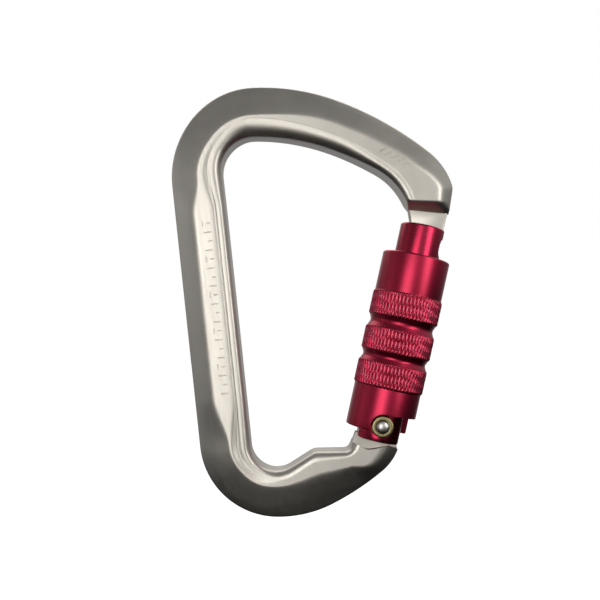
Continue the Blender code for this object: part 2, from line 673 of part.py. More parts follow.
# relief inside the skirt that lets the tenon swing through once the sleeve is turned
combine(sleeve, ring_segment(*RELIEF_ANGLES, 8, below, RELIEF_TOP, RELIEF_R), 'DIFFERENCE')
combine(sleeve, ring_segment(*TRACK_ANGLES, 12, *TRACK_SPAN, TRACK_R), 'DIFFERENCE')
finish(sleeve)


def collar(name, size, mat, steps=32):
    low, high, inner, outer = size
    ring = [(inner, low), (outer, low), (outer, high), (inner, high)]
    obj = turned(name, ring, mat, gate_to_world, pivot, steps)
    finish(obj)
    return obj


collar("sleeve_bush", BUSH, BRONZE)
collar("spring_seat_ring", LOWER_RING, BRONZE)

# open retaining ring snapped into the barrel's groove
low, high, inner, outer = CLIP
clip_rings = []
for k in range(25):
    a = radians(90.0 + CLIP_GAP / 2 + (360.0 - CLIP_GAP) * k / 24)
    clip_rings.append([gate_to_world(r * cos(a), r * sin(a), t)
                       for r, t in ((inner, low), (outer, low), (outer, high), (inner, high))])
verts, faces = bridged(clip_rings)
finish(new_object("retaining_ring", verts, faces, BLACK_STEEL, pivot))

# guide pin pressed into the barrel, riding in the track cut inside the sleeve
pin_profile = [(0, GUIDE_PIN_DEPTH + 0.1), (GUIDE_PIN_R, GUIDE_PIN_DEPTH + 0.1),
               (GUIDE_PIN_R, GUIDE_PIN_REACH - 0.2), (GUIDE_PIN_R - 0.2, GUIDE_PIN_REACH),
               (0, GUIDE_PIN_REACH)]
finish(solid_turned("guide_pin", pin_profile, STEEL, pin_to_world, pin_to_world(0, 0, 6.0), 16))

finish(coil("sleeve_spring", SLEEVE_SPRING_R, SLEEVE_WIRE_R, SLEEVE_SPRING[0], SLEEVE_SPRING[1],
            SLEEVE_COILS, 12, 4, SPRING_STEEL, gate_to_world, pivot), 60.0)
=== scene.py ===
"""Looks for the locking carabiner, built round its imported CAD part.

Everything is in the row frame: +Z runs up the spine, +X points from the spine to the
gate, and the front faces -Y. Lengths are millimetres; meshes are written in metres.
"""
import json
from math import asin, cos, degrees, pi, radians, sin, sqrt
import bpy
import bmesh
from mathutils import Matrix, Vector


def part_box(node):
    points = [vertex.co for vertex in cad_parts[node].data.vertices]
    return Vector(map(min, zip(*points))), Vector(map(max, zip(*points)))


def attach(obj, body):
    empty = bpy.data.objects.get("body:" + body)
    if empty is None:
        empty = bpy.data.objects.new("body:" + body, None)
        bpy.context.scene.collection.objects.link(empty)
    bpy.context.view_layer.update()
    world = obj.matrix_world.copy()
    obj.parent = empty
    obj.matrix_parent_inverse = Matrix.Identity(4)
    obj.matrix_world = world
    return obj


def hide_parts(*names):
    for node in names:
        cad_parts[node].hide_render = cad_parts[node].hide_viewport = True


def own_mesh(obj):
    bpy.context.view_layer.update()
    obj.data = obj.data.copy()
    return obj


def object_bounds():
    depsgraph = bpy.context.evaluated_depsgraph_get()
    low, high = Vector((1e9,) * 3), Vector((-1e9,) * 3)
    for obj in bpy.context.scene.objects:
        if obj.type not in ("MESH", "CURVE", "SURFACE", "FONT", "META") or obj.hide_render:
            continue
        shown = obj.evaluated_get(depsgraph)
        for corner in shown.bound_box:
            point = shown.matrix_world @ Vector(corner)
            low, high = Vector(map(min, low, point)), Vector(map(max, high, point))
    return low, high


MM = 0.001

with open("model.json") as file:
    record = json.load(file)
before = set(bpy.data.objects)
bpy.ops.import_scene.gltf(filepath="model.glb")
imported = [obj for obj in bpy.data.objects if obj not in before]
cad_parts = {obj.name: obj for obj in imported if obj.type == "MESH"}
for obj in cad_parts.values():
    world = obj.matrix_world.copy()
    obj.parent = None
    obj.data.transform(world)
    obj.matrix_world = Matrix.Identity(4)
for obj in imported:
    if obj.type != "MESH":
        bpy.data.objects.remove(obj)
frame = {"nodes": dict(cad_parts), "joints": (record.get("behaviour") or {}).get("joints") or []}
cad_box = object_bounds()
joints = {joint["name"]: joint for joint in frame["joints"]}

# ---- the gate's own directions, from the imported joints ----
PIVOT = Vector(joints["gate_swing"]["pos_m"]) / MM
GATE_AXIS = -Vector(joints["sleeve_twist"]["axis"]).normalized()
ACROSS = Vector((0.0, 1.0, 0.0))
SIDE = ACROSS.cross(GATE_AXIS)


def gate_point(side, across, along):
    return PIVOT + SIDE * side + ACROSS * across + GATE_AXIS * along


def cross_point(side, along, across):
    """Turns a profile about the hinge axis instead of the gate axis."""
    return gate_point(side, across, along)


def measured(node):
    """A node's lowest and highest distance along the gate axis and its radius about it."""
    points = [v.co / MM - PIVOT for v in frame["nodes"][node].data.vertices]
    along = [p.dot(GATE_AXIS) for p in points]
    radius = max((p - GATE_AXIS * p.dot(GATE_AXIS)).length for p in points)
    return min(along), max(along), radius


def box_mm(node):
    low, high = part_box(node)
    return low / MM, high / MM


BARREL_LOW, BARREL_TOP, BARREL_R = measured("gate_barrel")

# ---- frame outline: (radius, turn in degrees), or (0, length) for a straight ----
FRAME_LOW, FRAME_HIGH = box_mm("frame")
SPINE_OUTER_X = FRAME_LOW.x
SPINE_WIDTH = 13.25
SPINE_INNER_X = SPINE_OUTER_X + SPINE_WIDTH
INNER_TOP_Z = SPINE_INNER_X       # the first inner corner is as tall as it is wide
OUTER_TOP_Z = INNER_TOP_Z - 1.65
OUTER_BOTTOM_Z = -78.39
INNER_BOTTOM_Z = -79.53
OUTER_TOP = [(24.3, 45.9), (21.4, 47.5), (56.5, 22.7), (85.4, 18.5), (18.2, 33.8),
             (2.8, 26.0), (0, 6.2)]
INNER_TOP = [(-SPINE_INNER_X, 95.5), (56.7, 20.5), (86.0, 8.4), (17.9, 43.3)]
OUTER_BOTTOM = [(-20.4, 83.1), (-31.1, 28.0), (-70.0, 12.6), (-13.9, 38.0)]
INNER_BOTTOM = [(-6.71, 116.0), (0, 6.3), (3.5, 31.0), (0, 6.9), (-1.9, 69.0), (0, 3.6)]

# ---- frame section ----
HALF_THICK = FRAME_HIGH.y
EDGE_HALF = 2.1
EDGE_ROUND = 0.35           # how far in the rounded outer edge reaches
EDGE_SHARE = 0.6            # the outer edge is never taller than this share of the half thickness
BEVEL_BULGE = 0.25
BEVEL_SOFT_SHARE = 0.75     # the crest's soft part takes no more of the bevel than this
FACET_SOFT_SHARE = 0.45     # and no more of the facet than this
CORNER_CUTS = 2

# ---- knurl ----
TEETH = 58
STEPS_PER_TOOTH = 8
KNURL_DEPTH = 0.36
KNURL_SLANT = 0.21          # teeth passed per millimetre along the sleeve
KNURL_ROW = 0.26
KNURL_FADE = 0.45

# ---- meshing ----
SHARP_ANGLE = 40.0
FRAME_SHARP_ANGLE = 32.0
BARREL_SHARP_ANGLE = 30.0
SLEEVE_SHARP_ANGLE = 38.0
MERGE_DISTANCE = 0.004
SLIVER_LENGTH = 0.002
GAP_SIDES = 8               # the largest gap a boolean leaves, in edges
FILLET_STEPS = 6
DOME_STEPS = 12
OUTSIDE = 8.0               # a distance from the gate axis that clears the barrel and frame


# ---------------------------------------------------------------- mesh helpers
def new_piece(name, verts, faces, materials=()):
    """One smooth-shaded mesh from points in millimetres."""
    mesh = bpy.data.meshes.new(name)
    mesh.from_pydata([Vector(v) * MM for v in verts], [], faces)
    obj = bpy.data.objects.new(name, mesh)
    bpy.context.scene.collection.objects.link(obj)
    for mat in materials:
        mesh.materials.append(mat)
    work = bmesh.new()
    work.from_mesh(mesh)
    bmesh.ops.recalc_face_normals(work, faces=work.faces)
    work.to_mesh(mesh)
    work.free()
    mesh.shade_smooth()
    mesh.set_sharp_from_angle(angle=radians(SHARP_ANGLE))
    return obj


def bridged(rings, closed=False):
    """Skin a list of equal rings; the ends are capped unless the list is closed."""
    count = len(rings[0])
    verts = [p for ring in rings for p in ring]
    faces = []
    spans = len(rings) if closed else len(rings) - 1
    for i in range(spans):
        a = i * count
        b = ((i + 1) % len(rings)) * count
        for j in range(count):
            k = (j + 1) % count
            faces.append((a + j, a + k, b + k, b + j))
    if not closed:
        faces.append(tuple(reversed(range(count))))
        faces.append(tuple(range(len(verts) - count, len(verts))))
    return verts, faces


def circle(radius, steps):
    """Points of a circle about the origin, anticlockwise from its first axis."""
    turns = [2 * pi * i / steps for i in range(steps)]
    return [(radius * cos(a), radius * sin(a)) for a in turns]


def quarter(steps):
    """(cosine, sine) at even steps through a right angle."""
    turns = [pi / 2 * k / steps for k in range(steps + 1)]
    return [(cos(a), sin(a)) for a in turns]


def spread(low, high, steps):
    """Even steps from low to high, both included."""
    return [low + (high - low) * k / steps for k in range(steps + 1)]


def rim_points(radius, top, rim):
    """The rounded upper edge of a turned piece, as (radius, along) points."""
    return [(radius - rim + rim * c, top - rim + rim * s) for c, s in quarter(FILLET_STEPS)]


def rectangle(left, low, right, top):
    """Corners in order, anticlockwise from the lower left."""
    return [(left, low), (right, low), (right, top), (left, top)]


def turned(name, profile, to_world, materials, steps):
    """Turn a closed profile of (radius, along) points about an axis."""
    rings = []
    for i in range(steps):
        a = 2 * pi * i / steps
        rings.append([to_world(r * cos(a), r * sin(a), t) for r, t in profile])
    verts, faces = bridged(rings, closed=True)
    return new_piece(name, verts, faces, materials)


def solid_turned(name, profile, to_world, materials, steps):
    """Turn an open profile that starts and ends on the axis."""
    verts = [to_world(0, 0, profile[0][1])]
    for r, t in profile[1:-1]:
        verts += [to_world(x, y, t) for x, y in circle(r, steps)]
    verts.append(to_world(0, 0, profile[-1][1]))
    last = len(verts) - 1
    faces = []
    for i in range(steps):
        k = (i + 1) % steps
        faces.append((0, 1 + k, 1 + i))
        for row in range(len(profile) - 3):
            a = 1 + row * steps
            b = a + steps
            faces.append((a + i, a + k, b + k, b + i))
        faces.append((last, last - steps + i, last - steps + k))
    return new_piece(name, verts, faces, materials)


def plate(name, outline, low, high):
    """Extrude a flat outline of (side, along) points across the thickness."""
    rings = [[gate_point(s, y, t) for s, t in outline] for y in (low, high)]
    verts, faces = bridged(rings)
    return new_piece(name, verts, faces)


def rounded_outline(points, radii):
    """Round each corner of a polygon to its radius."""
    out = []
    n = len(points)
    for i in range(n):
        p = Vector(points[i])
        r = radii[i]
        before = (Vector(points[i - 1]) - p).normalized()
        after = (Vector(points[(i + 1) % n]) - p).normalized()
        half = before.angle(after) / 2
        reach = r / sin(half) * cos(half)
        centre = p + (before + after).normalized() * (r / sin(half))
        start = p + before * reach - centre
        turn = start.angle_signed(p + after * reach - centre)
        for k in range(FILLET_STEPS + 1):
            a = -turn * k / FILLET_STEPS
            out.append((centre.x + start.x * cos(a) - start.y * sin(a),
                        centre.y + start.x * sin(a) + start.y * cos(a)))
    return out


def drill(target, radius, low, high, to_world, steps):
    """Cut a round hole about the last axis of to_world."""
    bore = rectangle(0, low, radius, high)
    combine(target, solid_turned("cut", bore, to_world, (), steps), 'DIFFERENCE')


def cut_plate(target, outline, low, high):
    """Cut a flat outline through part of the thickness."""
    combine(target, plate("cut", outline, low, high), 'DIFFERENCE')


def combine(target, other, operation):
    """Join or cut one solid with another and keep the result as the target's mesh."""
    step = target.modifiers.new("step", 'BOOLEAN')
    step.operation = operation
    step.solver = 'EXACT'
    step.object = other
    depsgraph = bpy.context.evaluated_depsgraph_get()
    result = bpy.data.meshes.new_from_object(target.evaluated_get(depsgraph))
    target.modifiers.clear()
    target.data = result
    bpy.data.objects.remove(other, do_unlink=True)


def resharpen(obj, angle):
    """Merge the booleans' doubled points, close what that opens and shade the result."""
    work = bmesh.new()
    work.from_mesh(obj.data)
    bmesh.ops.remove_doubles(work, verts=work.verts, dist=MERGE_DISTANCE * MM)
    bmesh.ops.dissolve_degenerate(work, edges=work.edges, dist=SLIVER_LENGTH * MM)
    gaps = [edge for edge in work.edges if edge.is_boundary]
    bmesh.ops.holes_fill(work, edges=gaps, sides=GAP_SIDES)
    work.to_mesh(obj.data)
    work.free()
    obj.data.shade_smooth()
    obj.data.set_sharp_from_angle(angle=radians(angle))


def relaxed(points, rounds):
    """Cut the corners of an open polyline, keeping its two ends."""
    for _ in range(rounds):
        cut = [points[0]]
        for p, q in zip(points, points[1:]):
            cut.append(tuple(a * 0.75 + b * 0.25 for a, b in zip(p, q)))
            cut.append(tuple(a * 0.25 + b * 0.75 for a, b in zip(p, q)))
        cut.append(points[-1])
        points = cut
    return points


def smooth(share):
    """A soft step from 0 to 1."""
    share = min(1.0, max(0.0, share))
    return share * share * (3 - 2 * share)


# ---------------------------------------------------------------- material helpers
NOISE_SPAN = (0.3, 0.7)         # where nearly all of a noise's values lie
HAIR_SPAN = (0.35, 0.65)


class Shader:
    """A Principled material with short calls for its nodes."""

    def __init__(self, name, colour, metallic, roughness):
        self.mat = bpy.data.materials.new(name)
        self.mat.use_nodes = True
        self.mat.diffuse_color = (*colour, 1.0)
        self.nodes = self.mat.node_tree.nodes
        self.links = self.mat.node_tree.links
        self.bsdf = self.nodes["Principled BSDF"]
        self.bsdf.inputs["Base Color"].default_value = (*colour, 1.0)
        self.bsdf.inputs["Metallic"].default_value = metallic
        self.bsdf.inputs["Roughness"].default_value = roughness
        self.position = self.nodes.new("ShaderNodeTexCoord").outputs["Object"]

    def node(self, kind, **inputs):
        made = self.nodes.new(kind)
        for key, value in inputs.items():
            self.feed(made.inputs[key.replace("_", " ")], value)
        return made

    def feed(self, socket, value):
        if isinstance(value, bpy.types.NodeSocket):
            self.links.new(value, socket)
        else:
            socket.default_value = value

    def math(self, operation, *values):
        made = self.nodes.new("ShaderNodeMath")
        made.operation = operation
        for socket, value in zip(made.inputs, values):
            self.feed(socket, value)
        return made.outputs[0]

    def noise(self, scale, detail=3.0, rough=0.55, vector=None):
        made = self.node("ShaderNodeTexNoise", Scale=scale, Detail=detail, Roughness=rough)
        self.feed(made.inputs["Vector"], self.position if vector is None else vector)
        return made.outputs["Fac"]

    def range(self, value, low, high, to_low, to_high, soft=False):
        made = self.nodes.new("ShaderNodeMapRange")
        made.interpolation_type = 'SMOOTHSTEP' if soft else 'LINEAR'
        for socket, number in zip(made.inputs, (value, low, high, to_low, to_high)):
            self.feed(socket, number)
        return made.outputs[0]

    def along(self, origin, axis):
        """Distance in metres along an axis through a point."""
        shifted = self.nodes.new("ShaderNodeVectorMath")
        shifted.operation = 'SUBTRACT'
        self.feed(shifted.inputs[0], self.position)
        self.feed(shifted.inputs[1], origin)
        made = self.nodes.new("ShaderNodeVectorMath")
        made.operation = 'DOT_PRODUCT'
        self.feed(made.inputs[0], shifted.outputs[0])
        self.feed(made.inputs[1], axis)
        return made.outputs["Value"]

    def stretched(self, origin, axis, factor):
        """Position with its distance along an axis multiplied."""
        extra = self.math('MULTIPLY', self.along(origin, axis), factor - 1.0)
        scaled = self.nodes.new("ShaderNodeVectorMath")
        scaled.operation = 'SCALE'
        self.feed(scaled.inputs[0], axis)
        self.feed(scaled.inputs["Scale"], extra)
        total = self.nodes.new("ShaderNodeVectorMath")
        total.operation = 'ADD'
        self.feed(total.inputs[0], self.position)
        self.feed(total.inputs[1], scaled.outputs[0])
        return total.outputs[0]

    def blend(self, share, first, second):
        made = self.nodes.new("ShaderNodeMix")
        made.data_type = 'RGBA'
        self.feed(made.inputs[0], share)
        for socket, value in ((made.inputs[6], first), (made.inputs[7], second)):
            self.feed(socket, (*value, 1.0) if isinstance(value, tuple) else value)
        return made.outputs[2]

    def mottled(self, clouds, first, second):
        """A colour that drifts between two shades with a noise."""
        return self.blend(self.range(clouds, *NOISE_SPAN, 0.0, 1.0), first, second)

    def bump(self, height, distance, strength, normal=None):
        made = self.node("ShaderNodeBump", Strength=strength, Distance=distance, Height=height)
        if normal is not None:
            self.links.new(normal, made.inputs["Normal"])
        return made.outputs["Normal"]

    def set(self, name, value):
        self.feed(self.bsdf.inputs[name], value)


def grey_anodised():
    """Satin grey anodised forging, with soft clouding and hairlines."""
    s = Shader("grey_anodised", (0.60, 0.583, 0.545), 1.0, 0.4)
    clouds = s.noise(90.0, 4.0)
    fine = s.noise(5200.0, 2.0, 0.7)
    hair = s.noise(2400.0, 2.0, 0.5, s.stretched((0, 0, 0), (0, 0, 1), 0.05))
    s.set("Base Color", s.mottled(clouds, (0.58, 0.563, 0.527), (0.64, 0.624, 0.585)))
    cloud_rough = s.range(clouds, *NOISE_SPAN, 0.39, 0.44)
    hair_rough = s.range(hair, *HAIR_SPAN, -0.02, 0.02)
    s.set("Roughness", s.math('ADD', cloud_rough, hair_rough))
    s.set("Normal", s.bump(hair, 0.000004, 0.5, s.bump(fine, 0.000006, 0.6)))
    return s.mat


def red_anodised(name, colour, dark, roughness, painted_knurl_light=False):
    """Red anodised turned aluminium with fine lathe rings; on the knurl, the crests can get a
    painted highlight and the grooves painted shade.
    """
    s = Shader(name, colour, 1.0, roughness)
    pivot, axis = tuple(PIVOT * MM), tuple(GATE_AXIS)
    rings = s.noise(3800.0, 1.0, 0.5, s.stretched(pivot, axis, 3.0))
    turning = s.noise(1500.0, 2.0, 0.5, s.stretched(pivot, axis, 12.0))
    base = s.mottled(s.noise(160.0, 3.0), dark, colour)
    if painted_knurl_light:
        relief = s.nodes.new("ShaderNodeAttribute")
        relief.attribute_name = "relief"
        height = relief.outputs["Fac"]
        # painted highlight: the knurl crests are lightened by their relief height
        base = s.blend(s.range(height, 0.6, 1.0, 0.0, 0.6, True), base, (0.72, 0.13, 0.22))
        # painted shade: the knurl grooves are darkened by their relief height
        base = s.blend(s.range(height, 0.4, 0.0, 0.0, 0.45, True), base, (0.16, 0.003, 0.015))
    s.set("Base Color", base)
    s.set("Coat Weight", 0.55)
    s.set("Coat Roughness", 0.32)
    s.set("Roughness", s.range(turning, *NOISE_SPAN, roughness - 0.03, roughness + 0.04))
    s.set("Normal", s.bump(turning, 0.000004, 0.5, s.bump(rings, 0.000003, 0.4)))
    return s.mat


def plain_metal(name, colour, roughness, grain=0.03, scale=2600.0, bump=0.000003):
    """Bare metal with a fine grain and slightly darker patches."""
    s = Shader(name, colour, 1.0, roughness)
    grainy = s.noise(scale, 3.0)
    darker = tuple(c * 0.84 for c in colour)
    s.set("Base Color", s.mottled(s.noise(420.0, 3.0), darker, colour))
    s.set("Roughness", s.range(grainy, *NOISE_SPAN, roughness - grain, roughness + grain))
    s.set("Normal", s.bump(grainy, bump, 0.6))
    return s.mat


GREY = grey_anodised()
# the sleeve's material paints a highlight on the knurl crests and shade in its grooves
SLEEVE_RED = red_anodised("red_anodised_sleeve", (0.46, 0.006, 0.052),
                          (0.41, 0.005, 0.042), 0.35, True)
BARREL_RED = red_anodised("red_anodised_barrel", (0.47, 0.007, 0.055),
                          (0.42, 0.006, 0.045), 0.26)
STEEL = plain_metal("polished_steel", (0.66, 0.65, 0.64), 0.36)
BRASS = plain_metal("ring_brass", (0.44, 0.38, 0.2), 0.33)
SPRING_STEEL = plain_metal("spring_steel", (0.36, 0.36, 0.37), 0.34)
BRONZE = plain_metal("bearing_bronze", (0.45, 0.29, 0.14), 0.42, 0.06, 4200.0, 0.000008)
BLACK_STEEL = plain_metal("dark_spring_steel", (0.09, 0.09, 0.095), 0.42)


# ---------------------------------------------------------------- frame outline
class Outline:
    """A run of straights and arcs; positive radii turn clockwise."""

    def __init__(self, x, z, heading, pieces):
        self.pieces = []
        self.length = 0.0
        for radius, amount in pieces:
            size = amount if radius == 0 else abs(radius) * radians(amount)
            self.pieces.append((self.length, x, z, heading, radius, size))
            x, z, heading = self.step(x, z, heading, radius, size)
            self.length += size

    @staticmethod
    def step(x, z, heading, radius, size):
        if radius == 0:
            return x + size * cos(heading), z + size * sin(heading), heading
        new = heading - size / radius
        cx = x + radius * sin(heading)
        cz = z - radius * cos(heading)
        return cx - radius * sin(new), cz + radius * cos(new), new

    def at(self, distance):
        for start, x, z, heading, radius, size in reversed(self.pieces):
            if distance >= start - 1e-9:
                break
        x, z, heading = self.step(x, z, heading, radius, distance - start)
        return Vector((x, z))

    def end_of(self, index):
        return self.pieces[index][0] + self.pieces[index][5]

    def at_turn(self, wanted):
        """How far along the outline its heading has turned by that many degrees."""
        turned_so_far = 0.0
        for start, x, z, heading, radius, size in self.pieces:
            turn = 0.0 if radius == 0 else degrees(size / abs(radius))
            if turned_so_far + turn >= wanted:
                return start + radians(wanted - turned_so_far) * abs(radius)
            turned_so_far += turn
        return self.length


outer_top = Outline(SPINE_OUTER_X, OUTER_TOP_Z, pi / 2, OUTER_TOP)
inner_top = Outline(SPINE_INNER_X, INNER_TOP_Z, pi / 2, INNER_TOP)
outer_bottom = Outline(SPINE_OUTER_X, OUTER_BOTTOM_Z, -pi / 2, OUTER_BOTTOM)
inner_bottom = Outline(SPINE_INNER_X, INNER_BOTTOM_Z, -pi / 2, INNER_BOTTOM)

NOSE_HALF = HALF_THICK - 0.15

# A face is (bevel width, crest softness, facet end, groove depth, groove width, bead drop,
# bead width, half thickness, half height of the wall), from the outer edge inwards. The bevel
# width and the facet end are for a bar as wide as the spine.
SPINE_FACE = (5.0, 2.0, 10.65, 0.3, 0.5, 0.16, 0.85, HALF_THICK, 3.6)
LOW_TAPER = (8.0, 3.6, 8.75, 0.5, 2.4, 0.27, 0.6, HALF_THICK, 3.0)
HIGH_TAPER = (7.0, 4.4, 8.9, 0.26, 1.6, 0.17, 0.7, HALF_THICK, 3.0)
LOW_CORNER = (8.5, 6.0, 9.4, 0.22, 2.0, 0.22, 0.4, HALF_THICK - 0.1, 3.4)
HIGH_CORNER = (8.0, 5.5, 9.2, 0.12, 1.4, 0.14, 0.3, HALF_THICK, 2.9)
ARC_FACE = (8.1, 6.2, 8.8, 0.0, 0.2, 0.04, 0.1, HALF_THICK, 2.4)
ARC_END_FACE = (6.3, 4.0, 9.6, 0.0, 0.2, 0.04, 0.2, HALF_THICK, 2.8)
NOSE_FACE = (5.9, 4.4, 10.7, 0.04, 0.4, 0.06, 0.5, NOSE_HALF, 3.6)
TIP_FACE = (3.3, 2.9, 11.0, 0.04, 0.4, 0.06, 0.4, HALF_THICK - 0.35, 3.9)
LOW_FACE = (8.9, 4.6, 10.6, 0.0, 0.3, 0.05, 0.1, HALF_THICK, 3.3)
HUMP_FACE = (7.8, 4.6, 11.0, 0.0, 0.3, 0.01, 0.1, HALF_THICK, 3.5)
HINGE_FACE = (3.9, 3.0, 10.8, 0.0, 0.3, 0.01, 0.1, HALF_THICK - 0.05, 3.7)
SHOULDER_FACE = (2.6, 2.2, 11.0, 0.0, 0.4, 0.06, 0.4, 1.75, 1.35)

# A rib is (distance along the outer curve, along the inner curve, face, steps to the next rib).
BOTTOM_RIBS = [
    (outer_bottom.length, inner_bottom.length, HINGE_FACE, 10),
    (outer_bottom.end_of(2) + 0.5, inner_bottom.end_of(4), HINGE_FACE, 14),
    (outer_bottom.end_of(2) - 8.0, inner_bottom.end_of(3), HUMP_FACE, 12),
    (outer_bottom.end_of(1) - 1.0, inner_bottom.end_of(2), HUMP_FACE, 10),
    (outer_bottom.end_of(0) + 8.8, inner_bottom.end_of(1), HUMP_FACE, 12),
    (outer_bottom.at_turn(90), inner_bottom.at_turn(90), LOW_FACE, 18),
    (outer_bottom.at_turn(45), inner_bottom.at_turn(45), LOW_CORNER, 18),
    (0.0, 0.0, LOW_TAPER, 0),
]
SPINE_RIBS = [
    (OUTER_BOTTOM_Z, INNER_BOTTOM_Z, LOW_TAPER, 20),
    (-65.8, -65.8, SPINE_FACE, 14),
    (-18.6, -18.6, SPINE_FACE, 16),
    (OUTER_TOP_Z, INNER_TOP_Z, HIGH_TAPER, 0),
]
TOP_RIBS = [
    (0.0, 0.0, HIGH_TAPER, 18),
    (outer_top.at_turn(45), inner_top.at_turn(45), HIGH_CORNER, 18),
    (outer_top.at_turn(90), inner_top.at_turn(90), ARC_FACE, 16),
    (outer_top.end_of(2), inner_top.end_of(1), ARC_END_FACE, 20),
    (outer_top.end_of(3), inner_top.end_of(2) + 2.8, NOSE_FACE, 20),
    (outer_top.end_of(5), inner_top.end_of(3) - 4.0, TIP_FACE, 6),
    (outer_top.length - 3.0, inner_top.length - 2.4, TIP_FACE, 0),
]


def spine_line(x):
    """The straight spine, measured by its height instead of a distance."""
    return lambda z: Vector((x, z))


RUNS = [
    (outer_bottom.at, inner_bottom.at, BOTTOM_RIBS),
    (spine_line(SPINE_OUTER_X), spine_line(SPINE_INNER_X), SPINE_RIBS),
    (outer_top.at, inner_top.at, TOP_RIBS),
]


def section(width, face):
    """Half of the section as (distance in from the outer edge, half thickness)."""
    bevel, soft, facet_end, groove, groove_width, bead, bead_width, thick, wall = face
    scale = width / SPINE_WIDTH
    bevel *= scale
    facet_end *= scale
    soft_after = min(soft, (facet_end - bevel) * FACET_SOFT_SHARE)
    edge = min(EDGE_HALF, thick * EDGE_SHARE)
    points = [(0.0, 0.0), (0.0, edge * 0.5), (0.06, edge * 0.8), (EDGE_ROUND, edge)]

    def bevel_height(d):
        t = (d - EDGE_ROUND) / (bevel - EDGE_ROUND)
        return edge + (thick - edge) * (t + BEVEL_BULGE * t * (1 - t))

    for k in range(1, 4):
        d = EDGE_ROUND + (bevel - min(soft, bevel * BEVEL_SOFT_SHARE) - EDGE_ROUND) * k / 3
        points.append((d, bevel_height(d)))
    points.append((bevel, thick))
    points.append((bevel + soft_after, thick))
    points.append((facet_end - 0.1, thick))
    points.append((facet_end + groove_width * 0.5, thick - groove))
    points.append((facet_end + groove_width * 0.65, thick - groove))
    points.append((facet_end + groove_width, thick - bead))
    round_start = facet_end + groove_width + bead_width
    points.append((round_start, thick - bead))
    for c, s in quarter(5)[1:]:
        points.append((round_start + (width - round_start) * s, wall + (thick - bead - wall) * c))
    points.append((width, 0.0))
    return relaxed(points, CORNER_CUTS)


def frame_ring(outer, inner, face):
    """The whole section between two (x, z) points, back half first."""
    across = inner - outer
    width = across.length
    across.normalize()
    half = section(width, face)
    whole = half + [(d, -y) for d, y in half[-2:0:-1]]
    return [Vector((outer.x + across.x * d, y, outer.y + across.y * d)) for d, y in whole]


# ---- engraved marks: plain bars, no lettering ----
MARK_DEPTH = 0.09
MARK_WIDTH = 0.4
MARK_FLOOR_WIDTH = 0.1
MARK_CLEARANCE = 0.04           # how far a cutter starts above the face
SPINE_MARK_IN = (7.3, 9.2)      # how far in from the outer edge the spine's bars reach
SPINE_MARK_PITCH = 2.3
SPINE_MARK_COUNT = 20
SPINE_MARK_LOW = -65.0
SPINE_STEM_HALF = 0.7           # every fourth bar has an upright stem before it
SPINE_STEM_GAP = 0.9
NOSE_MARK_START = (80.5, 43.5)  # distances along the outer and the inner curve
NOSE_MARK_PITCH = (1.9, 1.6)
NOSE_MARK_COUNT = 6
NOSE_MARK_IN = (0.52, 0.66)     # share of the way in from the outer curve
NOSE_MARK_RISE = 0.06           # the nose is a little thicker before its tip


def mark_bar(start, end, face_half):
    """A shallow wedge that sinks into the front face between two (x, z) points."""
    along = (end - start).normalized()
    rings = []
    for y, width in ((-face_half - MARK_CLEARANCE, MARK_WIDTH),
                     (-face_half + MARK_DEPTH, MARK_FLOOR_WIDTH)):
        across = Vector((-along.y, along.x)) * (width / 2)
        corners = [start - across, end - across, end + across, start + across]
        rings.append([Vector((p.x, y, p.y)) for p in corners])
    return bridged(rings)


def cut_marks(body):
    """Sink a column of bars into the spine's face and a short row into the nose."""
    bars = []
    for k in range(SPINE_MARK_COUNT):
        z = SPINE_MARK_LOW + SPINE_MARK_PITCH * k
        near, far = (SPINE_OUTER_X + d for d in SPINE_MARK_IN)
        if k % 4 == 1:
            near = (near + far) / 2
        if k % 4 == 3:
            foot, head = (Vector((near, z + d)) for d in (-SPINE_STEM_HALF, SPINE_STEM_HALF))
            bars.append(mark_bar(foot, head, HALF_THICK))
            near += SPINE_STEM_GAP
        bars.append(mark_bar(Vector((near, z)), Vector((far, z)), HALF_THICK))
    for k in range(NOSE_MARK_COUNT):
        outer = outer_top.at(NOSE_MARK_START[0] + NOSE_MARK_PITCH[0] * k)
        inner = inner_top.at(NOSE_MARK_START[1] + NOSE_MARK_PITCH[1] * k)
        near, far = (outer.lerp(inner, share) for share in NOSE_MARK_IN)
        bars.append(mark_bar(near, far, NOSE_HALF + NOSE_MARK_RISE))
    verts = []
    faces = []
    for bar_verts, bar_faces in bars:
        base = len(verts)
        verts += bar_verts
        faces += [tuple(i + base for i in face) for face in bar_faces]
    combine(body, new_piece("cut", verts, faces), 'DIFFERENCE')


SHOULDER_STEPS = 14
SHOULDER_ROUNDING = 0.55    # share of the shoulder taken by its rounded upper edge


def slope(share):
    """A soft start that runs into a straight slope."""
    a = SHOULDER_ROUNDING
    if share < a:
        return share * share / (a * (2 - a))
    return (2 * share - a) / (2 - a)


def frame_piece():
    """The forging, with the recess, tenon, nose and marks cut and joined in that order."""
    rings = []
    for outer_at, inner_at, ribs in RUNS:
        for rib, after in zip(ribs, ribs[1:]):
            for k in range(rib[3]):
                share = k / rib[3]
                outer = outer_at(rib[0] + (after[0] - rib[0]) * share)
                inner = inner_at(rib[1] + (after[1] - rib[1]) * share)
                face = tuple(a + (b - a) * smooth(share) for a, b in zip(rib[2], after[2]))
                rings.append(frame_ring(outer, inner, face))
    outer_start, inner_start = TOP_RIBS[-1][:2]
    for k in range(SHOULDER_STEPS + 1):
        share = k / SHOULDER_STEPS
        outer = outer_top.at(outer_start + (outer_top.length - outer_start) * share)
        inner = inner_top.at(inner_start + (inner_top.length - inner_start) * share)
        face = tuple(a + (b - a) * slope(share) for a, b in zip(TIP_FACE, SHOULDER_FACE))
        rings.append(frame_ring(outer, inner, face))
    verts, faces = bridged(rings)
    body = new_piece("frame_forging", verts, faces, [GREY])
    cut_recess(body)
    add_tenon(body)
    add_nose(body)
    cut_marks(body)
    resharpen(body, FRAME_SHARP_ANGLE)
    return body


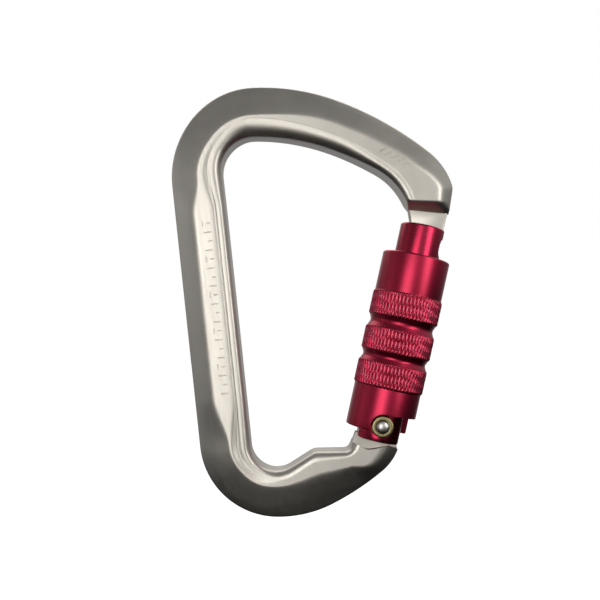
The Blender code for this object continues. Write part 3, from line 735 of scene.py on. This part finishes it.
# ---- hinge end of the frame ----
TENON_HALF = 2.0
TENON_TOP = 3.4
TENON_R = 5.42
TENON_OUTER = 5.3
TENON_CORNER_STEPS = 8
TENON_TRIM = [(TENON_OUTER, -1.0), (TENON_OUTER, -4.6), (5.9, -5.7), (8.0, -7.5), (8.0, -1.0)]
HINGE_HOLE_R = 1.55
RECESS_CENTRE = (-1.9, 0.8)
RECESS_R = 7.75
RECESS_STEPS = 120
RECESS_GAP = 0.35
RECESS_DRAWN_SPAN = (215.0, 350.0)
RECESS_DRAWN_FADE = 30.0
RECESS_DRAWN_SHARE = 0.6
EAR_CORNER_R = 1.5
SWING = 31
# each is (height above the tenon's face, extra radius)
RECESS_PROFILE = [(0.0, 0.15), (0.06, 0.3), (0.25, 0.4), (3.36, 0.02), (3.44, 0.06), (6.0, 0.3)]
RECESS_CORNER = [(2.0, -4.9), (5.0, -4.9), (8.5, -7.4), (8.5, 4.0), (2.0, 4.0)]
RECESS_CORNER_TOP = 9.0


def ear_reach(angle):
    """How far an ear's round-cornered end reaches from the hinge in one direction."""
    a = radians(angle)
    if sin(a) > -0.05:
        return 0.0
    flank = BARREL_R - EAR_CORNER_R
    sill = -BARREL_LOW - EAR_CORNER_R
    side, drop = abs(cos(a)), -sin(a)
    if side * -BARREL_LOW < flank * drop:
        return -BARREL_LOW / drop
    if drop * BARREL_R < sill * side:
        return BARREL_R / side
    middle = flank * side + sill * drop
    return middle + sqrt(middle ** 2 - flank ** 2 - sill ** 2 + EAR_CORNER_R ** 2)


def recess_reach(angle):
    """The round recess, drawn in below the ears to a gap outside all they sweep."""
    a = radians(angle)
    x, z = RECESS_CENTRE
    middle = x * cos(a) + z * sin(a)
    round_reach = middle + sqrt(middle ** 2 - x * x - z * z + RECESS_R ** 2)
    swept = max(ear_reach(angle - swing) for swing in range(SWING + 1)) + RECESS_GAP
    start, end = RECESS_DRAWN_SPAN
    drawn_in = smooth((angle - start) / RECESS_DRAWN_FADE)
    drawn_in *= smooth((end - angle) / RECESS_DRAWN_FADE)
    return round_reach + (min(round_reach, swept) - round_reach) * drawn_in * RECESS_DRAWN_SHARE


def cut_recess(body):
    """Clearance for the ears on both faces, leaving the tenon between them."""
    reaches = [recess_reach(360.0 * k / RECESS_STEPS) for k in range(RECESS_STEPS)]
    directions = circle(1.0, RECESS_STEPS)
    for sign in (-1, 1):
        rings = []
        for height, extra in RECESS_PROFILE:
            y = sign * (TENON_HALF + height)
            rings.append([gate_point((r + extra) * side, y, (r + extra) * along)
                          for r, (side, along) in zip(reaches, directions)])
        verts, faces = bridged(rings)
        combine(body, new_piece("cut", verts, faces), 'DIFFERENCE')
        low, high = sorted((sign * TENON_HALF, sign * RECESS_CORNER_TOP))
        cut_plate(body, RECESS_CORNER, low, high)


def add_tenon(body):
    """Tenon with a flat top for the plunger and round corners about the hinge."""
    outline = [(-5.3, -8.5), (-5.35, -0.4)]
    corner = degrees(asin(TENON_TOP / TENON_R))
    last = TENON_CORNER_STEPS - 1
    angles = [180.0 - corner * (k + 0.6) / (last + 0.6) for k in range(TENON_CORNER_STEPS)]
    angles += [corner * (last - k) / last for k in range(TENON_CORNER_STEPS)]
    outline += [(TENON_R * cos(radians(a)), TENON_R * sin(radians(a))) for a in angles]
    outline += [(TENON_R, -5.5), (2.0, -9.5)]
    combine(body, plate("tenon", outline, -TENON_HALF, TENON_HALF), 'UNION')
    cut_plate(body, TENON_TRIM, -OUTSIDE, OUTSIDE)
    cut_plate(body, circle(HINGE_HOLE_R, 48), -OUTSIDE, OUTSIDE)


# ---- nose end of the frame ----
NECK_HALF = 1.5
NECK_DRAFT = 0.02
NECK_OUTLINE = [(-3.5, 49.4), (5.3, 49.4), (5.3, 58.6), (-5.4, 58.6), (-4.95, 56.4),
                (-3.95, 53.9), (-3.6, 53.1)]
# each is (how far in its sides are, share of the half thickness)
NECK_SECTION = [(0.3, -1.0), (0.09, -0.92), (0.0, -0.7), (0.0, 0.7), (0.09, 0.92), (0.3, 1.0)]
HEAD_HALF = 2.8
HEAD_SIDES = (-3.4, 4.6)
HEAD_SPAN = (46.3, 49.9)
HEAD_ROUNDING = 1.2


def boxed(name, sides, half, span, rounding):
    """A bar with rounded long edges, given by its (across, along) section."""
    outline = rounded_outline(rectangle(-half, span[0], half, span[1]), [rounding] * 4)
    rings = [[gate_point(side, y, t) for y, t in outline] for side in sides]
    verts, faces = bridged(rings)
    return new_piece(name, verts, faces)


def add_nose(body):
    """Flat neck and the wider head that the gate's keyhole holds."""
    inner_side = NECK_OUTLINE[0][0]
    rings = []
    for inset, share in NECK_SECTION:
        outline = [(s + inset if s < 0 else s - inset, t) for s, t in NECK_OUTLINE]
        rings.append([gate_point(s, share * (NECK_HALF - NECK_DRAFT * (s - inner_side)), t)
                      for s, t in outline])
    verts, faces = bridged(rings)
    combine(body, new_piece("neck", verts, faces), 'UNION')
    combine(body, boxed("head", HEAD_SIDES, HEAD_HALF, HEAD_SPAN, HEAD_ROUNDING), 'UNION')


# ---------------------------------------------------------------- gate barrel
BARREL_STEPS = 160
BARREL_RIM = 0.55
BARREL_EDGE = [(-0.3, 0.0), (-0.09, 0.09), (0.0, 0.3)]  # (radius, height) from its lower corner
FORK_HALF = 2.3
FORK_TOP = 6.3
OVERCUT = 0.5               # how far one cutter runs into another's space
PLUNGER_SIDE = -1.8
GATE_BORE_R = 2.0
GATE_BORE_END = 27.0
CLIP_SPAN = (39.2, 40.3)
CLIP_FLOOR_R = 5.35
KEY_BACK = -3.8
KEY_WINDOW_BACK = -4.1
KEY_NECK_HALF = 1.9
KEY_NECK_LOW = 50.3
KEY_WINDOW_HALF = 3.2
KEY_WINDOW_LOW = 45.6
KEY_WINDOW_ROUNDING = 1.6
RING_R = 2.8
RING_CLEARANCE = 0.15
RING_SEAT = -5.0
RIVET_R = 1.45
RIVET_REAR = box_mm("pivot_rivet")[1].y
REAR_HEAD_R = 2.2
REAR_HEAD_DEPTH = 1.1
SEAT_CLEARANCE = 0.05       # round the rivet and behind the ring and the rear head
GUIDE_PIN_R = 1.0
GUIDE_PIN_CLEARANCE = 0.04
GUIDE_PIN_HEIGHT = 8.5
GUIDE_PIN_DEPTH = 3.6


def plunger_point(side, across, along):
    return gate_point(side + PLUNGER_SIDE, across, along)


def pin_point(side, across, along):
    """Turns a profile about the guide pin, which points out of the gate's back."""
    return gate_point(side, along, GUIDE_PIN_HEIGHT + across)


def barrel_piece():
    """Round barrel, forked into two ears at the hinge and slotted for the nose."""
    profile = [(0, BARREL_LOW)]
    profile += [(BARREL_R + dr, BARREL_LOW + dt) for dr, dt in BARREL_EDGE]
    clip_low, clip_top = CLIP_SPAN
    profile += [(BARREL_R, clip_low), (CLIP_FLOOR_R, clip_low), (CLIP_FLOOR_R, clip_top),
                (BARREL_R, clip_top)]
    profile += rim_points(BARREL_R, BARREL_TOP, BARREL_RIM)
    profile.append((0, BARREL_TOP))
    barrel = solid_turned("barrel_shell", profile, gate_point, [BARREL_RED], BARREL_STEPS)
    round_side = BARREL_R - EAR_CORNER_R
    round_level = BARREL_LOW + EAR_CORNER_R
    for sign in (-1, 1):
        corner = [(sign * (BARREL_R + 1), BARREL_LOW - 1), (sign * (BARREL_R + 1), round_level)]
        corner += [(sign * (round_side + EAR_CORNER_R * c), round_level - EAR_CORNER_R * s)
                   for c, s in quarter(12)]
        corner.append((sign * round_side, BARREL_LOW - 1))
        cut_plate(barrel, corner, -OUTSIDE, OUTSIDE)
    fork = rectangle(-OUTSIDE, BARREL_LOW - 2, OUTSIDE, FORK_TOP)
    cut_plate(barrel, fork, -FORK_HALF, FORK_HALF)
    drill(barrel, GATE_BORE_R, FORK_TOP - OVERCUT, GATE_BORE_END, plunger_point, 48)
    rear_seat = RIVET_REAR - REAR_HEAD_DEPTH - SEAT_CLEARANCE
    drill(barrel, RIVET_R + SEAT_CLEARANCE, -OUTSIDE, OUTSIDE, cross_point, 64)
    drill(barrel, RING_R + RING_CLEARANCE, -OUTSIDE, RING_SEAT - SEAT_CLEARANCE, cross_point, 64)
    drill(barrel, REAR_HEAD_R + SEAT_CLEARANCE, rear_seat, OUTSIDE, cross_point, 64)
    slot = rectangle(KEY_BACK, KEY_NECK_LOW - OVERCUT, OUTSIDE, BARREL_TOP + 1)
    cut_plate(barrel, slot, -KEY_NECK_HALF, KEY_NECK_HALF)
    window = boxed("cut", (KEY_WINDOW_BACK, OUTSIDE), KEY_WINDOW_HALF,
                   (KEY_WINDOW_LOW, KEY_NECK_LOW), KEY_WINDOW_ROUNDING)
    combine(barrel, window, 'DIFFERENCE')
    drill(barrel, GUIDE_PIN_R + GUIDE_PIN_CLEARANCE, GUIDE_PIN_DEPTH, OUTSIDE, pin_point, 32)
    resharpen(barrel, BARREL_SHARP_ANGLE)
    return barrel


# ---------------------------------------------------------------- hinge hardware
RIVET_HEAD_R = 1.65
RIVET_DOME = 0.75
RIVET_FRONT = box_mm("pivot_rivet")[0].y + RIVET_DOME
RIVET_FLARE = (-0.35, -0.55)    # where the shank widens to the front head, from the ring's seat
REAR_HEAD_EDGE = [(-0.25, 0.0), (-0.07, -0.07), (0.0, -0.25)]   # (radius, depth) from its corner
RING_HOLE_R = 1.78
RING_SINK = 0.1
RING_FACE = box_mm("pivot_ring")[0].y


def rivet_piece():
    """Rivet with a domed front head and a flat countersunk tail head."""
    head_seat = RIVET_REAR - REAR_HEAD_DEPTH
    profile = [(0, RIVET_REAR)]
    profile += [(REAR_HEAD_R + dr, RIVET_REAR + dy) for dr, dy in REAR_HEAD_EDGE]
    profile += [(REAR_HEAD_R, head_seat), (RIVET_R, head_seat)]
    profile += [(r, RING_SEAT + dy) for r, dy in zip((RIVET_R, RIVET_HEAD_R), RIVET_FLARE)]
    profile += [(RIVET_HEAD_R * c, RIVET_FRONT - RIVET_DOME * s) for c, s in quarter(DOME_STEPS)]
    profile[-1] = (0, RIVET_FRONT - RIVET_DOME)
    return solid_turned("rivet", profile, cross_point, [STEEL], 72)


def ring_piece():
    """Brass ring round the rivet's head, with a well rounded outer edge."""
    corners = rectangle(RING_HOLE_R, RING_FACE, RING_R, RING_SEAT - RING_SINK)
    profile = rounded_outline(corners, [0.1, 0.4, 0.08, 0.05])
    return turned("hinge_ring", profile, cross_point, [BRASS], 96)


# ---------------------------------------------------------------- gate spring
GATE_SPRING = (12.4, 26.6)
GATE_SPRING_R = 1.45
GATE_WIRE_R = 0.28
GATE_COILS = 9
COIL_STEPS = 24
WIRE_STEPS = 10
END_TURN = 0.9              # turns that lie close together at each end
END_PITCH = 2.2             # their pitch, in wire radii


def gate_spring_piece():
    """Round-wire compression spring with closed end turns, pressed shorter by the plunger."""
    low, high = GATE_SPRING
    end_rise = END_PITCH * GATE_WIRE_R
    middle_rise = high - low - 2 * GATE_WIRE_R - 2 * end_rise
    end_share = END_TURN / GATE_COILS
    steps = GATE_COILS * COIL_STEPS
    rings = []
    for i in range(steps + 1):
        share = i / steps
        level = low + GATE_WIRE_R
        level += end_rise * min(1.0, share / end_share)
        level += end_rise * max(0.0, 1 + (share - 1) / end_share)
        level += middle_rise * min(1.0, max(0.0, (share - end_share) / (1 - 2 * end_share)))
        a = 2 * pi * GATE_COILS * share
        ring = []
        for x, y in circle(GATE_WIRE_R, WIRE_STEPS):
            r = GATE_SPRING_R + x
            ring.append(plunger_point(r * cos(a), r * sin(a), level + y))
        rings.append(ring)
    verts, faces = bridged(rings)
    spring = new_piece("gate_coil", verts, faces, [SPRING_STEEL])
    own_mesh(spring)
    return spring


# ---------------------------------------------------------------- locking sleeve
SLEEVE_LOW, SLEEVE_TOP, BAND_R = measured("lock_sleeve")
SLEEVE_BORE_R = 6.1
SLEEVE_R = 8.75
SLEEVE_EDGE = [(-0.35, 0.0), (-0.1, 0.1), (0.0, 0.35)]  # (radius, height) from its lower corner
SLEEVE_RIM = 0.5
COLLAR_LEVEL = 38.0         # a ring of points half way up the plain upper end
WAIST_R = 8.25
WAIST_FLARE = 0.3
WAIST_MARGIN = 0.45         # between a waist's end and the next band
BAND_FOOT_R = WAIST_R + 0.42
BAND_MARGIN = 0.12
CAVITY_R = 7.4
CAVITY_LOW = 11.3
CAVITY_CHAMFER = 0.2
BANDS = [(9.5, 16.0), (18.5, 24.9), (27.7, 34.3)]
NOTCH_LEVEL = 3.25
NOTCH_ANGLES = (-92.0, 28.0)
POCKET_R = 3.3
POCKET_SPAN = (-12.0, -3.0)
SEGMENT_INNER_R = 5.0
SEGMENT_OUTER_R = 10.0
RELIEF_ANGLES = (198.0, 250.0)
RELIEF_R = 7.9
RELIEF_TOP = 2.2
TRACK_R = 7.6
TRACK_SPAN = (7.3, 9.7)
TRACK_ANGLES = (76.0, 192.0)
CROSSED_SHARE = 0.6         # of a tooth's height; the rest follows the first slant only
CREST_LIFT = 1.15
FLAT_RELIEF = 0.5           # the relief off the bands, which gets neither painted highlight nor painted shade


def wave(phase):
    """0 in a groove and 1 on a crest, with rounded crests and narrower grooves."""
    return abs(sin(pi * phase)) ** 0.8


def knurl_height(angle_share, along, low, high):
    """0 at the root and 1 on the crest of the crossed teeth, fading at the band's edges."""
    turn = TEETH * angle_share
    slant = KNURL_SLANT * (along - low)
    first, second = wave(turn + slant), wave(turn - slant)
    tooth = min(first, second) * CROSSED_SHARE + first * (1 - CROSSED_SHARE)
    fade = min(smooth((along - low) / KNURL_FADE), smooth((high - along) / KNURL_FADE))
    return min(tooth * CREST_LIFT, 1.0) * fade


def sleeve_profile():
    """Closed (radius, along, band) profile; band is None off the knurl."""
    outline = [(SLEEVE_BORE_R, SLEEVE_LOW, None)]
    outline += [(SLEEVE_R + dr, SLEEVE_LOW + dt, None) for dr, dt in SLEEVE_EDGE]
    skirt_levels = (1.0, NOTCH_LEVEL + 0.6, BANDS[0][0] - BAND_MARGIN)
    outline += [(SLEEVE_R, t, None) for t in skirt_levels]
    for index, (low, high) in enumerate(BANDS):
        rows = round((high - low) / KNURL_ROW)
        outline += [(BAND_R - KNURL_DEPTH, t, index) for t in spread(low, high, rows)]
        if index + 1 < len(BANDS):
            after = BANDS[index + 1][0]
            middle = (high + after) / 2
            half = (after - high) / 2 - WAIST_MARGIN
            outline.append((BAND_FOOT_R, high + BAND_MARGIN, None))
            for share in spread(-1.0, 1.0, 8):
                outline.append((WAIST_R + WAIST_FLARE * share * share, middle + half * share, None))
            outline.append((BAND_FOOT_R, after - BAND_MARGIN, None))
    outline += [(SLEEVE_R, BANDS[-1][1] + BAND_MARGIN, None), (SLEEVE_R, COLLAR_LEVEL, None)]
    outline += [(r, t, None) for r, t in rim_points(SLEEVE_R, SLEEVE_TOP, SLEEVE_RIM)]
    outline += [(CAVITY_R + CAVITY_CHAMFER, SLEEVE_TOP, None),
                (CAVITY_R, SLEEVE_TOP - CAVITY_CHAMFER, None),
                (CAVITY_R, CAVITY_LOW, None), (SLEEVE_BORE_R, CAVITY_LOW, None)]
    return outline


def cut_segment(target, angles, steps, outer_r, low, top):
    """Cut a slot bent round the gate axis between two angles."""
    corners = rectangle(SEGMENT_INNER_R, low, outer_r, top)
    rings = []
    for angle in spread(*angles, steps):
        a = radians(angle)
        rings.append([gate_point(r * cos(a), r * sin(a), t) for r, t in corners])
    verts, faces = bridged(rings)
    combine(target, new_piece("cut", verts, faces), 'DIFFERENCE')


def sleeve_piece():
    """Knurled sleeve with its notch, the ring's pocket, the relief and the pin's track."""
    steps = TEETH * STEPS_PER_TOOTH
    profile = sleeve_profile()
    rings = []
    heights = []
    for i in range(steps):
        a = 2 * pi * i / steps
        ring = []
        for r, t, band in profile:
            height = FLAT_RELIEF
            if band is not None:
                height = knurl_height(i / steps, t, *BANDS[band])
                r += KNURL_DEPTH * height
            ring.append(gate_point(r * cos(a), r * sin(a), t))
            heights.append(height)
        rings.append(ring)
    verts, faces = bridged(rings, closed=True)
    sleeve = new_piece("sleeve_shell", verts, faces, [SLEEVE_RED])
    # knurl height, which the material uses to paint a highlight on crests and shade in grooves
    relief = sleeve.data.attributes.new("relief", 'FLOAT', 'POINT')
    relief.data.foreach_set("value", heights)
    below = SLEEVE_LOW - 2.0
    cut_segment(sleeve, NOTCH_ANGLES, 40, SEGMENT_OUTER_R, below, NOTCH_LEVEL)
    pocket = [(1.0, SLEEVE_LOW - 3.0), (1.0, NOTCH_LEVEL)]
    pocket += [(-POCKET_R * s, min(NOTCH_LEVEL, POCKET_R * c)) for c, s in quarter(16)]
    pocket.append((-POCKET_R, SLEEVE_LOW - 3.0))
    cut_plate(sleeve, pocket, *POCKET_SPAN)
    cut_segment(sleeve, RELIEF_ANGLES, 24, RELIEF_R, below, RELIEF_TOP)
    cut_segment(sleeve, TRACK_ANGLES, 36, TRACK_R, *TRACK_SPAN)
    resharpen(sleeve, SLEEVE_SHARP_ANGLE)
    return sleeve


# ---------------------------------------------------------------- assembly
def placed(piece, body, slot, *nodes):
    """Attach a piece to the body it rides on and hide the CAD nodes that it stands for. The slot is
    not used.
    """
    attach(piece, body)
    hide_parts(*nodes)


placed(frame_piece(), "body", "frame_anodised", "frame")
placed(barrel_piece(), "gate", "barrel_anodised", "gate_barrel")
placed(rivet_piece(), "gate", "polished_steel", "pivot_rivet")
placed(ring_piece(), "gate", "ring_brass", "pivot_ring")
placed(sleeve_piece(), "sleeve", "sleeve_anodised", "lock_sleeve")
placed(gate_spring_piece(), "gate", "spring_steel", "gate_spring")

CARRIED = {"gate_plunger": STEEL, "guide_pin": STEEL, "sleeve_spring": SPRING_STEEL,
           "retaining_ring": BLACK_STEEL, "sleeve_bush": BRONZE, "spring_seat_ring": BRONZE}
for node, mat in CARRIED.items():
    materials = frame["nodes"][node].data.materials
    materials.clear()
    materials.append(mat)


# ---------------------------------------------------------------- studio
LAMP_DISTANCE = 0.6
LAMP_COLOUR = (1.0, 0.96, 0.9)
# each is (name, azimuth, elevation, width and height, power)
LAMPS = [
    ("key", -15.0, 3.0, (0.27, 0.38), 1.02),
    ("fill", 42.0, 8.0, (0.20, 0.42), 1.05),
    ("rear_left", 210.0, 48.0, (0.50, 0.40), 0.75),
    ("rear_right", 150.0, 48.0, (0.50, 0.40), 0.75),
]


def area_light(name, azimuth, elevation, size, power):
    """A soft box aimed at the middle of the object; azimuth 0 is in front, 90 to the right."""
    middle = (cad_box[0] + cad_box[1]) / 2
    a = radians(azimuth)
    e = radians(elevation)
    away = Vector((sin(a) * cos(e), -cos(a) * cos(e), sin(e)))
    data = bpy.data.lights.new(name, 'AREA')
    data.shape = 'RECTANGLE'
    data.size, data.size_y = size
    data.energy = power
    data.color = LAMP_COLOUR
    light = bpy.data.objects.new(name, data)
    light.location = middle + away * LAMP_DISTANCE
    light.rotation_mode = 'QUATERNION'
    light.rotation_quaternion = (-away).to_track_quat('-Z', 'Y')
    light.visible_camera = False
    bpy.context.scene.collection.objects.link(light)


for lamp in LAMPS:
    area_light(*lamp)


def studio_world():
    """White surround; what the metal reflects is grey above, paler at the sides, dark below."""
    world = bpy.data.worlds.new("studio")
    bpy.context.scene.world = world
    world.use_nodes = True
    nodes = world.node_tree.nodes
    links = world.node_tree.links
    nodes.clear()
    out = nodes.new("ShaderNodeOutputWorld")
    direction = nodes.new("ShaderNodeTexCoord").outputs["Generated"]
    parts = nodes.new("ShaderNodeSeparateXYZ")
    links.new(direction, parts.inputs[0])

    def ramp(value, low, high, to_low, to_high):
        made = nodes.new("ShaderNodeMapRange")
        made.interpolation_type = 'SMOOTHSTEP'
        links.new(value, made.inputs[0])
        for socket, number in zip(made.inputs[1:5], (low, high, to_low, to_high)):
            socket.default_value = number
        return made.outputs[0]

    height = ramp(parts.outputs["Z"], -0.45, 0.3, 0.003, 0.185)
    left = ramp(parts.outputs["X"], -1.0, -0.72, 3.1, 1.0)
    right = ramp(parts.outputs["X"], 0.5, 0.9, 1.0, 2.6)
    rear = ramp(parts.outputs["Y"], 0.6, 0.97, 0.0, 0.5)
    ahead = ramp(parts.outputs["Y"], -0.75, -0.97, 0.0, 0.3)
    ahead_high = ramp(parts.outputs["Z"], -0.25, 0.1, 0.0, 1.0)

    def joined(operation, first, second):
        made = nodes.new("ShaderNodeMath")
        made.operation = operation
        links.new(first, made.inputs[0])
        links.new(second, made.inputs[1])
        return made.outputs[0]

    studio = nodes.new("ShaderNodeBackground")
    walls = joined('MULTIPLY', height, joined('MULTIPLY', left, right))
    walls = joined('MAXIMUM', walls, rear)
    front = joined('MULTIPLY', ahead, ahead_high)
    links.new(joined('ADD', walls, front), studio.inputs["Strength"])
    tint = nodes.new("ShaderNodeMix")
    tint.data_type = 'RGBA'
    links.new(ramp(parts.outputs["Z"], -0.6, 0.0, 0.0, 1.0), tint.inputs[0])
    tint.inputs[6].default_value = (0.72, 0.70, 0.78, 1.0)
    tint.inputs[7].default_value = (1.0, 0.985, 0.96, 1.0)
    links.new(tint.outputs[2], studio.inputs["Color"])
    white = nodes.new("ShaderNodeBackground")
    white.inputs["Color"].default_value = (1, 1, 1, 1)
    white.inputs["Strength"].default_value = 1.0
    seen = nodes.new("ShaderNodeLightPath")
    mix = nodes.new("ShaderNodeMixShader")
    links.new(seen.outputs["Is Camera Ray"], mix.inputs[0])
    links.new(studio.outputs[0], mix.inputs[1])
    links.new(white.outputs[0], mix.inputs[2])
    links.new(mix.outputs[0], out.inputs["Surface"])


studio_world()


FLOOR_DROP = 0.13           # metres below the object
FLOOR_REACH = 6.0           # metres


def floor_plane():
    """Plain pale floor, well below the object."""
    z = cad_box[0].z - FLOOR_DROP
    mesh = bpy.data.meshes.new("floor")
    corners = rectangle(-FLOOR_REACH, -FLOOR_REACH, FLOOR_REACH, FLOOR_REACH)
    mesh.from_pydata([(x, y, z) for x, y in corners], [], [(0, 1, 2, 3)])
    floor = bpy.data.objects.new("floor", mesh)
    bpy.context.scene.collection.objects.link(floor)
    s = Shader("pale_floor", (0.93, 0.93, 0.92), 0.0, 0.9)
    s.set("Emission Color", (1.0, 1.0, 1.0, 1.0))
    s.set("Emission Strength", 0.85)
    mesh.materials.append(s.mat)
    floor.visible_glossy = False
    floor.visible_diffuse = False


floor_plane()

# ---------------------------------------------------------------- camera
CAMERA_X = 7.22
CAMERA_Z = -50.89
CAMERA_DISTANCE = 212.0
CAMERA_ROLL = radians(6.1)
CAMERA_SHIFT = 0.05
VIEW_WIDTH = 157.2
SENSOR_WIDTH = 36.0
CLIP_START = 0.01

camera = bpy.data.cameras.new("camera")
camera_object = bpy.data.objects.new("camera", camera)
bpy.context.scene.collection.objects.link(camera_object)
right = Vector((cos(CAMERA_ROLL), 0, -sin(CAMERA_ROLL)))
up = Vector((sin(CAMERA_ROLL), 0, cos(CAMERA_ROLL)))
back = Vector((0, -1, 0))
placing = Matrix((right, up, back)).transposed().to_4x4()
placing.translation = Vector((CAMERA_X, -CAMERA_DISTANCE, CAMERA_Z)) * MM
camera_object.matrix_world = placing
camera.sensor_width = SENSOR_WIDTH
camera.lens = SENSOR_WIDTH * CAMERA_DISTANCE / VIEW_WIDTH
camera.shift_y = CAMERA_SHIFT
camera.clip_start = CLIP_START
bpy.context.scene.camera = camera_object
bpy.context.scene.view_settings.view_transform = 'Standard'
